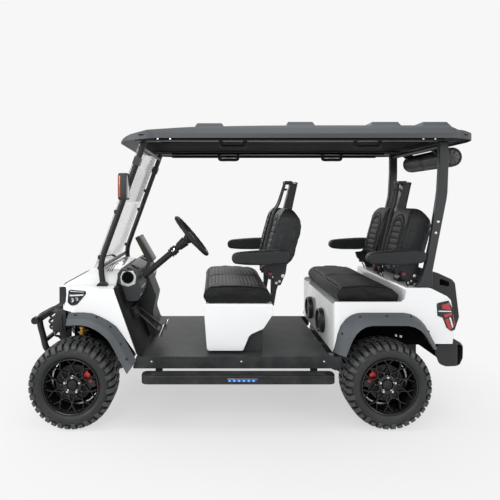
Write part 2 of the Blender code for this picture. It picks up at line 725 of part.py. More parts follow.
# x and z of the rear strut, down its front edge and up its rear edge, with corner radii
REAR_STRUT = [(-1.357, STRUT_TOP_Z, 0), (-1.357, 1.800, 0.5), (-1.346, 1.600, 0.3), (-1.280, 1.265, 0.4),
              (-1.224, 1.050, 0.2), (-1.204, 0.984, 0.04), (-1.158, 0.9445, 0), (-1.286, 0.9445, 0),
              (-1.286, 1.060, 0.02),
              (-1.342, 1.290, 0.4), (-1.414, 1.585, 0.25), (-1.422, 1.800, 0.5), (-1.422, STRUT_TOP_Z, 0)]


def rear_struts():
    """Two flat-sided struts from the rear body's shoulders to the roof, and their cross bar."""
    struts = []
    for side in (1, -1):
        strut = extrude("xz", -0.0215, 0.0215, rounded(REAR_STRUT, 12), name="rear_struts")
        for vertex in strut.data.vertices:
            rise = min(1.0, max(0.0, (vertex.co.z - 1.02) / 0.55))
            vertex.co.y += side * (0.4985 - 0.052 * rise)
        struts.append(bevelled(strut, 0.006, 1, 70))
    frame = struts[0]
    join(frame, struts[1])
    join(frame, rod((-1.388, -0.440, 1.942), (-1.388, 0.440, 1.942), 0.016, 12))
    return part(frame, "rear_struts", "charcoal_plastic")


def sound_bar():
    """Round speaker bar hung behind the cross bar between the rear struts."""
    bar = rod((-1.509, -0.348, 1.869), (-1.509, 0.348, 1.869), 0.070, 24, name="sound_bar")
    for y in (-0.250, 0.250):
        join(bar, extrude("xz", y - 0.012, y + 0.012, rounded([
            (-1.4045, 1.962, 0.006), (-1.4045, 1.925, 0.006), (-1.465, 1.880, 0), (-1.515, 1.930, 0)])))
    return part(bar, "sound_bar", "black_plastic")


# First and last x and the height of each raised band across the roof
ROOF_BANDS = ((0.352, 0.186, 2.078), (-0.268, -0.434, 2.087), (-0.842, -1.018, 2.087),
              (-1.192, -1.352, 2.087))


def roof_section(raise_by, half, floor_z):
    """The roof seen from the front, with rounded edges."""
    right = [(half, floor_z, 0), (half, 1.994 + raise_by, 0.012), (half - 0.042, 2.046 + raise_by, 0.04),
             (0.570, 2.066 + raise_by, 0.10), (0.300, 2.084 + raise_by, 0.4)]
    return rounded(right + [(-y, z, r) for y, z, r in reversed(right)], 20)


def roof_solid(inset, name):
    base = ROOF_EDGE_Z - inset * 8
    front, rear = 0.920 - inset, OVERALL_REAR_X + inset
    side = rounded([
        (rear, base, 0), (rear, 1.984 - inset, 0.008), (rear + 0.045, 2.012 - inset, 0.03),
        (-1.396, 2.023 - inset, 0.03), (-1.340, 2.066 - inset, 0.04), (-0.400, 2.066 - inset, 0.8),
        (0.060, 2.056 - inset, 0.8), (0.401, 2.045 - inset, 0.8), (0.672, 2.025 - inset, 0.3),
        (0.815, 2.006 - inset, 0.10), (0.884, 1.984 - inset, 0.03), (front, 1.970 - inset, 0.004), (front,
                                                                                                    base,
                                                                                                    0),
    ], 15)
    half = ROOF_HALF_WIDTH - inset
    solid = extrude("xz", -half, half, side, name=name)
    corner = [(front, 0.380, 0.16), (0.860, 0.520, 0.16), (0.660, half, 0.20), (-1.400, half, 0.18),
              (-1.540, 0.550, 0.12), (rear, 0.420, 0.14)]
    plan = rounded(corner + [(x, -y, r) for x, y, r in reversed(corner)], 20)
    keep_inside(solid, extrude("yz", -1.700, 1.100, roof_section(-inset, half, 1.800)))
    return keep_inside(solid, extrude("xy", 1.800, 2.300, plan))


def roof():
    """Moulded canopy, hollow below, with raised bands, two inner rails and four grab handles."""
    shell = roof_solid(0.0, "roof")
    for front, rear, top in ROOF_BANDS:
        wedge = [(front + 0.034, 2.020), (front, top), (rear, top), (rear - 0.034, 2.020)]
        band = extrude("xz", -0.700, 0.700, wedge, name="band")
        across = roof_section(top - 2.062, 0.626, 2.000)
        join(shell, keep_inside(band, extrude("yz", rear - 0.1, front + 0.1, across)))
    cut(shell, roof_solid(0.006, "roof_inside"))
    for side in (1, -1):
        y0, y1 = sorted((0.428 * side, 0.505 * side))
        rail = box((-1.460, y0, STRUT_TOP_Z), (0.790, y1, 2.200))
        join(shell, keep_inside(rail, roof_solid(0.002, "rail_limit")))
        for x in (0.105, -0.842):
            y = 0.485 * side
            grip = [(x - 0.085, y, 1.985), (x - 0.085, y, 1.925), (x + 0.085, y, 1.925),
                    (x + 0.085, y, 1.985)]
            join(shell, tube(grip, 0.011, 0.02, 1, 2))
    return part(shell, "roof", "charcoal_plastic")


def mirror():
    """Mirror housing beside the front strut on the driver's side, with its arm."""
    face = rounded([(0.535, 1.553, 0.02), (0.6585, 1.553, 0.03), (0.6585, 1.734, 0.03),
                    (0.535, 1.734, 0.02)])
    housing = extrude("yz", 0.822, 0.878, face, name="mirror")
    bevelled(housing, 0.008, 1, 60)
    x = on_strut(1.640)
    join(housing, tube([(x, 0.4985, 1.640), (x, 0.520, 1.642), (0.850, 0.560, 1.646)], 0.010, 0.02, 1, 2))
    return part(housing, "mirror", "black_plastic")


# ---------------------------------------------------------------- seats

# x, z, corner radius of the front seat pod, seen from the side
SEAT_POD = [(0.312, SEAT_DECK_Z, 0.012), (-0.174, SEAT_DECK_Z, 0.012), (-0.174, 0.750, 0.01),
            (-0.108, 0.648, 0.02),
            (-0.012, 0.604, 0.03), (0.034, 0.4905, 0.015), (0.288, 0.4905, 0.02)]


def pod_solid(inset, name):
    cx, cz = 0.120, 0.700
    outline = []
    for x, z in rounded(SEAT_POD):
        outline.append((x + math.copysign(inset, cx - x), z - inset if z > cz else z))
    if inset:
        outline = [(x, z - 0.05 if z < 0.60 else z) for x, z in outline]
    body = extrude("xz", -0.500 + inset, 0.500 - inset, outline, name=name)
    front = rounded([
        (-0.470 + inset, 0.400, 0), (-0.500 + inset, SEAT_DECK_Z - inset, 0.012), (0.500 - inset,
                                                                                   SEAT_DECK_Z - inset,
                                                                                   0.012),
        (0.470 - inset, 0.400, 0),
    ])
    return keep_inside(body, extrude("yz", -0.5, 0.6, front))


def front_seat_pod():
    """White box under the front row, its sides drawn in towards the floor, open below."""
    pod = pod_solid(0.0, "front_seat_pod")
    return part(cut(pod, pod_solid(PANEL, "pod_inside")), "front_seat_pod", "white_paint")


def battery_pack():
    """The traction battery, one plain block inside the front pod."""
    block = box((0.050, -0.360, 0.4895), (0.268, 0.360, 0.760), "battery_pack")
    return part(block, "battery_pack", "battery_case")


def cushion(row, back_x, rear):
    """Bench cushion with rounded sides, resting on its pod."""
    side = rounded([
        (0.302 - back_x, 0.8262, 0.03), (0.330 - back_x, 0.868, 0.05), (0.306 - back_x, 0.935, 0.05),
        (0.120 - back_x, 0.952, 0.30), (rear + 0.072 - back_x, 0.934, 0.10), (rear - back_x, 0.888, 0.04),
        (rear + 0.012 - back_x, 0.8262, 0.03),
    ], 22)
    pad = extrude("xz", -0.508, 0.508, side, name="cushion")
    return part(bevelled(pad, 0.030, 2, 60), f"{row}_cushion", "seat_leather")


def backrest(row, label, side, back_x):
    """One seat's back: a rounded pad leaning back beside the belt tower."""
    lean = rounded([
        (-0.150 - back_x, 1.075, 0.04), (-0.190 - back_x, 1.250, 0.20), (-0.250 - back_x, 1.462, 0.05),
        (-0.289 - back_x, 1.502, 0.03), (-0.345 - back_x, 1.488, 0.05), (-0.398 - back_x, 1.395, 0.08),
        (-0.387 - back_x, 1.302, 0.15), (-0.337 - back_x, 1.125, 0.10), (-0.279 - back_x, 1.062, 0.03),
    ], 25)
    pad = extrude("xz", 0.058 * side, 0.404 * side, lean, name="backrest")
    face = [(0.050, 1.056, 0.05), (0.052, 1.420, 0.09), (0.100, 1.512, 0.09), (0.340, 1.512, 0.12),
            (0.416, 1.400, 0.12), (0.416, 1.150, 0.10), (0.360, 1.036, 0.06), (0.090, 1.036, 0.05)]
    front = rounded([(y * side, z, r) for y, z, r in face], 25)
    keep_inside(pad, extrude("yz", -0.5 - back_x, 0.0 - back_x, front))
    return part(pad, f"{row}_back_{label}", "seat_leather")


def armrest(row, label, side, back_x):
    """Padded armrest with a round front end."""
    rear = -0.288
    side_view = rounded([
        (0.120 - back_x, 1.112, 0.04), (0.112 - back_x, 1.186, 0.04), (-0.200 - back_x, 1.206, 0.10),
        (rear - back_x, 1.200, 0.03), (rear - back_x, 1.120, 0.04), (-0.120 - back_x, 1.100, 0.10),
    ], 25)
    pad = extrude("xz", 0.475 * side, 0.552 * side, side_view, name="armrest")
    return part(bevelled(pad, 0.014, 1, 60), f"{row}_armrest_{label}", "seat_leather")


# x and z of the seat frame's feet: one on the pod's rear wall, the other on the shelf behind the rear cushion
SEAT_FEET = {
    "front": [(-0.1745, 0.765), (-0.1745, 0.822), (-0.192, 0.838), (-0.192, 0.950), (-0.232, 1.012),
              (-0.268, 1.006),
              (-0.228, 0.880), (-0.208, 0.765)],
    "rear": [(-0.190, SHELF_Z + GAP), (-0.192, 0.968), (-0.232, 1.012), (-0.268, 1.006), (-0.242, 0.966),
             (-0.242, SHELF_Z + GAP)],
}


def seat_frame(row, back_x, tower_x):
    """Steel side plates behind the cushion, the tube between them, feet, arm brackets and belt tower."""
    z = 1.012
    frame = rod((-0.252 - back_x, -0.440, z), (-0.252 - back_x, 0.440, z), 0.015, 12, name="seat_frame")
    plate = rounded([
        (-0.100, 1.085, 0.01), (-0.120, 1.028, 0.03), (-0.186, 0.985, 0.02), (-0.200, 0.945, 0.01),
        (-0.236, 0.945, 0.01), (-0.272, 1.032, 0.02), (-0.285, 1.120, 0.02), (-0.262, 1.170, 0.015),
        (-0.224, 1.170, 0.015), (-0.160, 1.090, 0.02),
    ])
    for side in (1, -1):
        join(frame, extrude("xz", 0.420 * side, 0.4435 * side, [(x - back_x, h) for x, h in plate]))
        join(frame, extrude("xz", 0.215 * side, 0.290 * side, [(x - back_x, h) for x, h in SEAT_FEET[row]]))
        arm = (-0.248 - back_x, 1.148)
        join(frame, rod((arm[0], 0.430 * side, arm[1]), (arm[0], 0.4746 * side, arm[1]), 0.013, 12))
    tower = [(-0.236, 1.000), (-0.282, 0.996), (tower_x - 0.058, 1.500), (tower_x - 0.098, 1.685),
             (tower_x - 0.050, 1.695), (tower_x, 1.500)]
    join(frame, extrude("xz", -0.034, 0.034, [(x - back_x, h) for x, h in tower]))
    return part(frame, f"{row}_seat_frame", "black_steel")


# ---------------------------------------------------------------- rear body


def rear_solid(inset, name):
    """The rear quarter's outer form, or the same form drawn in by a panel's thickness."""
    base = 0.120 if inset else 0.0
    front_x = REAR_FACE_X - inset
    top = rounded([
        (-1.292, 0.556 - base, 0), (-1.413 + inset, 0.556 - base, 0), (-1.432 + inset, 0.690, 0.05),
        (-1.402 + inset, 0.860, 0.02), (-1.376, 0.886 - inset, 0.03), (-1.258, SHELF_Z - inset, 0.03),
        (-1.096, SHELF_Z - inset, 0.02), (-1.080, 0.846 - inset, 0.03), (front_x, 0.846 - inset, 0.03),
        (front_x, 0.490 - base, 0),
    ], 20)
    lower = [] if inset else rounded_open(REAR_ARCH)[1:-1]
    half = REAR_HALF_WIDTH - inset
    solid = extrude("xz", -half, half, top + lower, name=name)
    plan = rounded([(-1.600, -half, 0), (front_x, -half, 0.028), (front_x, half, 0.028),
                    (-1.600, half, 0)], 45)
    keep_inside(solid, extrude("xy", 0.300, 1.100, plan))
    deck = 0.512 + inset
    return cut(solid, box((-1.089 - inset, -deck, SEAT_DECK_Z - inset), (-0.400, deck, 1.2), "seat_room"))


# x, z, corner radius of the tail lamp
TAIL_LAMP = [(-1.304, 0.836, 0.012), (-1.386, 0.856, 0.008), (-1.408, 0.812, 0.02), (-1.436, 0.700, 0.02),
             (-1.428, 0.655, 0.012), (-1.402, 0.645, 0.012), (-1.372, 0.668, 0.015), (-1.346, 0.738, 0.010),
             (-1.310, 0.750, 0.012)]


def rear_body():
    """White rear quarter shell: seat box front, shoulders and sides, open below and behind the bag well."""
    body = rear_solid(0.0, "rear_body")
    cut(body, rear_solid(PANEL, "rear_inside"))
    cut(body, box((-1.600, -0.4295, 0.300), (-1.2875, 0.4295, 1.200), "bag_well_room"))
    lamp = grown(rounded(TAIL_LAMP), 0.0015)
    cut(body, extrude("xz", -0.56, -0.470, lamp), extrude("xz", 0.470, 0.56, lamp))
    return part(body, "rear_body", "white_paint")


def speaker(label, side):
    """Round loudspeaker on the front face of the rear body: a raised ring, a dished cone and its dome."""
    y, z, face = 0.200 * side, 0.635, REAR_FACE_X + GAP
    ring = rod((face, y, z), (face + 0.034, y, z), 0.095, WHEEL_SEGMENTS, 0.088, name=f"speaker_{label}")
    cut(ring, rod((face + 0.012, y, z), (face + 0.040, y, z), 0.052, WHEEL_SEGMENTS, 0.078))
    join(ring, rod((face + 0.008, y, z), (face + 0.026, y, z), 0.030, 16, 0.020))
    return part(ring, f"speaker_{label}", "black_plastic")


def bag_well():
    """Open tub for bags behind the rear row, with a hand hole in each side."""
    outline = [(-1.2885, 0.606, 0.01), (-1.2885, 1.054, 0.006), (-1.367, 1.030, 0.03),
               (-1.466, 0.984, 0.03),
               (-1.486, 0.958, 0.015), (-1.515, 0.716, 0.03), (-1.478, 0.606, 0.03)]
    tub = extrude("xz", -0.428, 0.428, rounded(outline), name="bag_well")
    inside = rounded([(-1.2945, 0.614, 0.01), (-1.2945, 1.200, 0), (-1.480, 1.200, 0), (-1.480, 0.955, 0),
                      (-1.508, 0.718, 0.03), (-1.473, 0.614, 0.02)])
    cut(tub, extrude("xz", -0.421, 0.421, inside))
    hole = rounded([(-1.375, 0.995, 0.01), (-1.445, 0.966, 0.01), (-1.445, 0.930, 0.01),
                    (-1.375, 0.945, 0.01)])
    cut(tub, extrude("xz", -0.5, 0.5, hole))
    return part(tub, "bag_well", "charcoal_plastic")


def tail_light(label, side):
    lamp = extrude("xz", 0.490 * side, 0.5335 * side, rounded(TAIL_LAMP), name="tail_light")
    return part(bevelled(lamp, 0.002, 1, 60), f"tail_light_{label}", "lamp_red")


def rear_bumper():
    """Wrap-round rear bumper cover, hollow towards the frame."""
    outline = [(-1.322, 0.538, 0.01), (-1.4195, 0.548, 0), (-1.4215, 0.592, 0.004), (-1.500, 0.548, 0.02),
               (-1.545, 0.505, 0.03), (-1.536, 0.430, 0.03), (-1.480, 0.394, 0.04), (-1.380, 0.390, 0.04),
               (-1.335, 0.408, 0.03), (-1.305, 0.485, 0.02)]
    cover = extrude("xz", -0.505, 0.505, rounded(outline), name="rear_bumper")
    inside = rounded([(-1.200, 0.528, 0), (-1.492, 0.540, 0.02), (-1.537, 0.500, 0.03),
                      (-1.529, 0.436, 0.03),
                      (-1.478, 0.402, 0.03), (-1.200, 0.360, 0)])
    cut(cover, extrude("xz", -0.497, 0.497, inside))
    plan = rounded([(-1.200, -0.505, 0), (-1.200, 0.505, 0), (-1.470, 0.505, 0.06), (-1.547, 0.430, 0.06),
                    (-1.547, -0.430, 0.06), (-1.470, -0.505, 0.06)])
    keep_inside(cover, extrude("xy", 0.3, 0.65, plan))
    return part(cover, "rear_bumper", "charcoal_plastic")


# ---------------------------------------------------------------- axles and wheels


def caliper(centre, side, ahead):
    """A disc brake caliper: two blocks and a bridge over the disc's edge."""
    x, y, z = centre
    low, high = sorted((x + 0.085 * ahead, x + 0.152 * ahead))
    over_low, over_high = sorted((x + 0.1320 * ahead, x + 0.152 * ahead))
    inner = box((low, 0.480 * side, z - 0.020), (high, 0.5245 * side, z + 0.050))
    outer = box((low, 0.5445 * side, z - 0.020), (high, 0.561 * side, z + 0.050))
    bridge = box((over_low, 0.500 * side, z - 0.020), (over_high, 0.560 * side, z + 0.050))
    return [inner, bridge, outer]


def knuckle(label, side):
    """Upright with its kingpin, spindle, steering arm and brake caliper."""
    x, y, z = FRONT_AXLE_X, KINGPIN_Y * side, TYRE_RADIUS
    body = rod((x, y, z - 0.075), (x, y, z + 0.075), 0.018, 16, name="knuckle")
    join(body, rod((x, 0.405 * side, z), (x, 0.528 * side, z), 0.024, 16))
    arm = rounded([(x + 0.015, y - 0.016 * side, 0.005),
                   (x - STEERING_ARM - 0.014, y - 0.034 * side, 0.012),
                   (x - STEERING_ARM - 0.014, y - 0.006 * side, 0.012),
                   (x + 0.015, y + 0.016 * side, 0.005)])
    join(body, extrude("xy", z - 0.001, z + 0.012, arm))
    bracket = box((x - 0.110, 0.470 * side, z - 0.014), (x + 0.010, 0.488 * side, z + 0.040))
    join(body, bracket, *caliper((x, y, z), side, -1))
    return part(body, f"knuckle_{label}", "cast_grey")


def tie_rod():
    """Track rod with a ball joint under each steering arm."""
    x, z = FRONT_AXLE_X - STEERING_ARM, TYRE_RADIUS - 0.017
    bar = rod((x, -0.390, z), (x, 0.390, z), 0.010, 12, name="tie_rod")
    for side in (1, -1):
        join(bar, rod((x, 0.400 * side, z - 0.012), (x, 0.400 * side, z + 0.0125), 0.014, 12))
    return part(bar, "tie_rod", "black_steel")


def front_suspension():
    """Subframe, upper and lower arms each side, spring-and-damper units and their towers."""
    x, z = FRONT_AXLE_X, TYRE_RADIUS
    frame = box((1.120, -0.165, 0.200), (1.290, 0.165, 0.3895), "front_suspension")
    for side in (1, -1):
        y = KINGPIN_Y * side
        lower = rounded([(1.285, 0.150 * side, 0), (x + 0.026, y + 0.010 * side, 0.02),
                         (x - 0.026, y + 0.010 * side, 0.02),
                         (1.125, 0.150 * side, 0)])
        join(frame, extrude("xy", 0.1965, 0.2145, lower))
        join(frame, extrude("xy", 0.3695, 0.3860, lower))
        damper = tube([(x, 0.350 * side, 0.206), (x, 0.262 * side, 0.700)], 0.030, 0.02, 2, 2)
        tower = box((1.150, 0.160 * side, 0.600), (1.260, 0.285 * side, 0.700))
        leg = box((1.170, 0.1675 * side, 0.3895 - 0.05), (1.240, 0.2195 * side, 0.388))
        join(frame, damper, tower, leg)
    return part(frame, "front_suspension", "black_steel")


def rear_axle():
    """Live axle with its reduction gear, drive motor, leaf springs and brake calipers."""
    x, z = REAR_AXLE_X, TYRE_RADIUS
    axle = rod((x, -0.528, z), (x, 0.528, z), 0.030, 16, name="rear_axle")
    motor = rod((x + 0.150, -0.250, z + 0.010), (x + 0.150, 0.060, z + 0.010), 0.082, 20)
    join(axle, rod((x, -0.080, z), (x, 0.070, z), 0.100, 20), motor)
    join(axle, box((x - 0.020, -0.060, z - 0.058), (x + 0.140, 0.050, z + 0.062)))
    for side in (1, -1):
        leaf = [(x + 0.480, 0.376), (x + 0.240, 0.343), (x, 0.331), (x - 0.200, 0.341), (x - 0.330, 0.372)]
        strip = leaf + [(px, pz - 0.015) for px, pz in reversed(leaf)]
        join(axle, extrude("xz", 0.275 * side, 0.325 * side, strip))
        bracket = box((x - 0.010, 0.465 * side, z - 0.018), (x + 0.110, 0.486 * side, z + 0.040))
        join(axle, bracket, *caliper((x, 0, z), side, 1))
    return part(axle, "rear_axle", "black_steel")


# Tyre profile: radius, distance from the middle plane, outer side first
TYRE_PROFILE = [(0.1935, 0.1010), (0.226, 0.1240), (0.266, 0.1220), (TYRE_RADIUS, 0.092),
                (TYRE_RADIUS, -0.092),
                (0.266, -0.1220), (0.226, -0.1240), (0.1935, -0.0810), (0.1798, -0.0715), (0.1798, 0.0905)]
# Rim barrel profile in the same columns
BARREL_PROFILE = [(0.1900, 0.1100), (0.1900, 0.1000), (0.1788, 0.0925), (0.1788, -0.0730),
                  (0.1900, -0.0860),
                  (0.1700, -0.0860), (0.1700, 0.0880), (0.1830, 0.1100)]
# Hub, brake disc hat and disc, turned in one, from the hub's face to the disc's inner face
HUB_PROFILE = [(0.0, 0.0820), (0.034, 0.0820), (0.060, 0.0740), (0.060, 0.0300), (0.125, 0.0290),
               (0.125, 0.0200), (0.0, 0.0200)]
SPOKES = 10


def turned_about_wheel(profile, closed, x, side, name, segments=WHEEL_SEGMENTS):
    scale = 1 / math.cos(math.pi / segments)
    widened = [(radius * scale, out) for radius, out in profile]
    return turned(widened, (x, WHEEL_CENTRE_Y * side, TYRE_RADIUS), side, closed, segments, name)


def tyre(name, x, side):
    ring = turned_about_wheel(TYRE_PROFILE, True, x, side, name)
    return part(ring, name, "tyre_rubber")


def polar(radius, degrees):
    return (radius * math.cos(math.radians(degrees)), radius * math.sin(math.radians(degrees)))


def spoke_face(x, side):
    """A dished disc whose windows leave ten spokes, each split in two towards the barrel."""
    rim_circle = [polar(0.1745, 360 * k / WHEEL_SEGMENTS) for k in range(WHEEL_SEGMENTS)]
    windows = []
    pitch = 360 / SPOKES
    for k in range(SPOKES):
        middle = k * pitch
        # Columns: radius, degrees from the window's middle
        wide = [(0.070, 0.0), (0.106, -11.5), (0.162, -7.5), (0.162, 7.5), (0.106, 11.5)]
        windows.append([polar(r, middle + a) for r, a in wide])
        slim = [(0.122, 0.0), (0.160, -5.0), (0.160, 5.0)]
        windows.append([polar(r, middle + pitch / 2 + a) for r, a in slim])
    hub_circle = [polar(0.050, 22.5 * k) for k in range(16)]
    face = extrude("xy", -0.010, 0.010, rim_circle, hub_circle, *windows, name="spoke_face")
    for vertex in face.data.vertices:
        radius = math.hypot(vertex.co.x, vertex.co.y)
        vertex.co.z += 0.068 + 0.012 * (radius / 0.17) ** 2
    upright = Matrix.Rotation(-math.pi / 2 * side, 4, "X")
    face.matrix_world = Matrix.Translation((x, WHEEL_CENTRE_Y * side, TYRE_RADIUS)) @ upright
    return face


def rim(name, x, side):
    """Wheel rim: barrel, split-spoke face, hub and brake disc."""
    barrel = turned_about_wheel(BARREL_PROFILE, True, x, side, name)
    join(barrel, spoke_face(x, side), turned_about_wheel(HUB_PROFILE, False, x, side, "hub", 16))
    return part(barrel, name, "rim_gloss_black")


# ---------------------------------------------------------------- assembly


# Row name, distance behind the front row, the cushion's rear end and the belt tower's front edge half-way up
ROWS = (("front", 0.0, -0.182, -0.326), ("rear", ROW_PITCH, -0.133, -0.300))


def build():
    for maker in (chassis_frame, floor_deck, front_cowl, front_fascia, front_bumper, brush_guard, dashboard,
                  steering_column, pedals, windshield, front_struts, rear_struts, sound_bar, roof, mirror,
                  front_seat_pod, battery_pack, rear_body, bag_well, rear_bumper, rear_axle,
                  front_suspension):
        maker()
    wheel_liner("front_liner", FRONT_LINER, 0.546)
    wheel_liner("rear_liner", REAR_LINER, 0.523)
    for row, back_x, rear, tower_x in ROWS:
        cushion(row, back_x, rear)
        seat_frame(row, back_x, tower_x)
        for label, side in SIDES:
            backrest(row, label, side, back_x)
            armrest(row, label, side, back_x)
    for label, side in SIDES:
        side_step(label, side)
        headlight(label, side)
        front_flare(label, side)
        rear_flare(label, side)
        speaker(label, side)
        tail_light(label, side)
        kingpin = Vector((FRONT_AXLE_X, KINGPIN_Y * side, TYRE_RADIUS))
        steer = joint_empty(f"kingpin_{label}", kingpin, [knuckle(label, side)])
        for end, x in (("front", FRONT_AXLE_X), ("rear", REAR_AXLE_X)):
            pieces = [tyre(f"tyre_{end}_{label}", x, side), rim(f"rim_{end}_{label}", x, side)]
            hub = joint_empty(f"hub_{end}_{label}", (x, WHEEL_CENTRE_Y * side, TYRE_RADIUS), pieces)
            if end == "front":
                bpy.context.view_layer.update()
                hub.parent = steer
                hub.matrix_parent_inverse = steer.matrix_world.inverted()
    joint_empty("steering_wheel_axis", WHEEL_HUB, [steering_wheel()])
    joint_empty("tie_rod_slide", (FRONT_AXLE_X - STEERING_ARM, 0, TYRE_RADIUS), [tie_rod()])


build()
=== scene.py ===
"""Finishes, seats, tyres and small fittings of a lifted four-seat golf cart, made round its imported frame.

Metres, in the frame's own axes: +X forward, +Y to the driver's left, +Z up, with the ground at z = 0.
"""

import json
import math

import bmesh
import bpy
import numpy as np
from mathutils import Matrix, Vector
from mathutils.bvhtree import BVHTree


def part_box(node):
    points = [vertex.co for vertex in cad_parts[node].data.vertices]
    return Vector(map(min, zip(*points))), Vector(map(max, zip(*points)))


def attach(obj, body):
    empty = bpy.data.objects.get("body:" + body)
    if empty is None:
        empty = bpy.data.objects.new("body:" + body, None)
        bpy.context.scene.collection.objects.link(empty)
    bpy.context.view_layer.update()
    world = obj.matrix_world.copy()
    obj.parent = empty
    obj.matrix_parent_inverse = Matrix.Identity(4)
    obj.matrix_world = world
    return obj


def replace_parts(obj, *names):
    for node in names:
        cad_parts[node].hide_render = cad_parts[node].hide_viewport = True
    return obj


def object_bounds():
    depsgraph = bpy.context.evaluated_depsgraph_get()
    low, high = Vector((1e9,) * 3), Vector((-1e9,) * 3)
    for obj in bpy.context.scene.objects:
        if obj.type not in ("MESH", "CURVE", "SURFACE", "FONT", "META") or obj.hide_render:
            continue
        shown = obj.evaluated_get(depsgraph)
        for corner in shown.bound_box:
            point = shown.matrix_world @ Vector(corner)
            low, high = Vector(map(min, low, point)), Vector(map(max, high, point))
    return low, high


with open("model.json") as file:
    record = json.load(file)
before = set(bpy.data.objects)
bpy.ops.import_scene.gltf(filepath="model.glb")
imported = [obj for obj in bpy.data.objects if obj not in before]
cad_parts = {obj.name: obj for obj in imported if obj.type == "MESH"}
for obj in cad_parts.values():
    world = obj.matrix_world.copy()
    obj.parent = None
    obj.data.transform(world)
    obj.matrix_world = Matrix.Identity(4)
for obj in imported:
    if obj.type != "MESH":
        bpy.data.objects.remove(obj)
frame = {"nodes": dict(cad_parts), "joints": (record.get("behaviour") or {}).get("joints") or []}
nodes = frame["nodes"]
cad_low, cad_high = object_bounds()

SIDES = (("left", 1), ("right", -1))
ENDS = ("front", "rear")
WHEELS = [(end, label, side) for end in ENDS for label, side in SIDES]
ORIGIN = Vector((0, 0, 0))
AHEAD, ACROSS, UP = Vector((1, 0, 0)), Vector((0, 1, 0)), Vector((0, 0, 1))
CHASSIS = "chassis"


def low(node):
    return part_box(node)[0]


def high(node):
    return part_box(node)[1]


def middle(node):
    a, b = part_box(node)
    return (a + b) / 2


# ---------------------------------------------------------------------------------------------
# Finishes
# ---------------------------------------------------------------------------------------------


def put(tree, node, inputs):
    """Sets a node's inputs to values, or links them to other nodes' outputs."""
    for key, value in inputs.items():
        if isinstance(value, bpy.types.NodeSocket):
            tree.links.new(value, node.inputs[key])
        else:
            node.inputs[key].default_value = value


def shader_node(tree, kind, inputs=None, **settings):
    """A new node with its settings and its inputs."""
    made = tree.nodes.new(kind)
    for key, value in settings.items():
        setattr(made, key, value)
    put(tree, made, inputs or {})
    return made


def sum_of(tree, operation, a, b=0.0, c=0.0, clamp=False):
    inputs = {0: a, 1: b}
    if operation == "MULTIPLY_ADD":
        inputs[2] = c
    return shader_node(tree, "ShaderNodeMath", inputs, operation=operation, use_clamp=clamp).outputs[0]


def colour_mix(tree, factor, a, b):
    mix = shader_node(tree, "ShaderNodeMix", {0: factor, 6: a, 7: b}, data_type="RGBA")
    return mix.outputs[2]


def ranged(tree, value, low_in, high_in, low_out=0.0, high_out=1.0):
    inputs = {0: value, 1: low_in, 2: high_in, 3: low_out, 4: high_out}
    return shader_node(tree, "ShaderNodeMapRange", inputs).outputs[0]


def new_group(name, inputs, output):
    """An empty shader group with float inputs (name, default) and one float output."""
    tree = bpy.data.node_groups.new(name, "ShaderNodeTree")
    for label, default in inputs:
        given = tree.interface.new_socket(label, in_out="INPUT", socket_type="NodeSocketFloat")
        given.default_value = default
    tree.interface.new_socket(output, in_out="OUTPUT", socket_type="NodeSocketFloat")
    return tree, tree.nodes.new("NodeGroupInput").outputs, tree.nodes.new("NodeGroupOutput").inputs[0]


def place_of(tree):
    return shader_node(tree, "ShaderNodeTexCoord").outputs["Object"]


def part_of(tree, axis, vector=None):
    """One coordinate of a vector, or of the surface's own place."""
    return shader_node(tree, "ShaderNodeSeparateXYZ", {0: vector or place_of(tree)}).outputs[axis]


def noise(tree, scale, detail, **more):
    inputs = {"Vector": place_of(tree), "Scale": scale, "Detail": detail, **more}
    return shader_node(tree, "ShaderNodeTexNoise", inputs).outputs[0]


def waves(tree, scale, distortion, axis):
    """Bands of light and dark across an axis."""
    inputs = {"Vector": place_of(tree), "Scale": scale, "Distortion": distortion}
    return shader_node(tree, "ShaderNodeTexWave", inputs, bands_direction=axis).outputs[1]


def moulded_grain_group():
    """The fine pebble of moulded plastic, rubber or hide, as a height."""
    tree, given, result = new_group("moulded_grain", [("Cells per metre", 900.0), ("Mottle", 0.35)], "Height")
    inputs = {"Vector": place_of(tree), "Scale": given[0]}
    cells = shader_node(tree, "ShaderNodeTexVoronoi", inputs, feature="SMOOTH_F1").outputs["Distance"]
    mottle = sum_of(tree, "MULTIPLY", noise(tree, 160.0, 3.0), given[1])
    tree.links.new(sum_of(tree, "ADD", cells, mottle), result)
    return tree


def edge_wear_group():
    """Where corners have been rubbed: the turn of a rounded normal away from the true one, broken up."""
    tree, given, result = new_group("edge_wear", [("Radius", 0.003), ("Amount", 0.5)], "Worn")
    rounded = shader_node(tree, "ShaderNodeBevel", {"Radius": given[0]}, samples=4).outputs[0]
    true = shader_node(tree, "ShaderNodeNewGeometry").outputs["True Normal"]
    facing = shader_node(tree, "ShaderNodeVectorMath", {0: rounded, 1: true}, operation="DOT_PRODUCT")
    turned_away = ranged(tree, facing.outputs["Value"], 0.985, 0.86)
    worn = sum_of(tree, "MULTIPLY", turned_away, ranged(tree, noise(tree, 26.0, 5.0), 0.46, 0.66))
    tree.links.new(sum_of(tree, "MULTIPLY", worn, given[1], clamp=True), result)
    return tree


def road_dust_group():
    """Dust that thins out with height, in clouds and specks."""
    tree, given, result = new_group("road_dust", [("Top", 0.6), ("Amount", 0.3)], "Dust")
    share = sum_of(tree, "DIVIDE", part_of(tree, "Z"), given[0])
    fading = ranged(tree, share, 0.15, 1.0, 1.0, 0.0)
    clouds = ranged(tree, noise(tree, 9.0, 7.0), 0.40, 0.72)
    dust = sum_of(tree, "MULTIPLY", sum_of(tree, "MULTIPLY", fading, clouds), noise(tree, 210.0, 2.0))
    tree.links.new(sum_of(tree, "MULTIPLY", dust, given[1], clamp=True), result)
    return tree


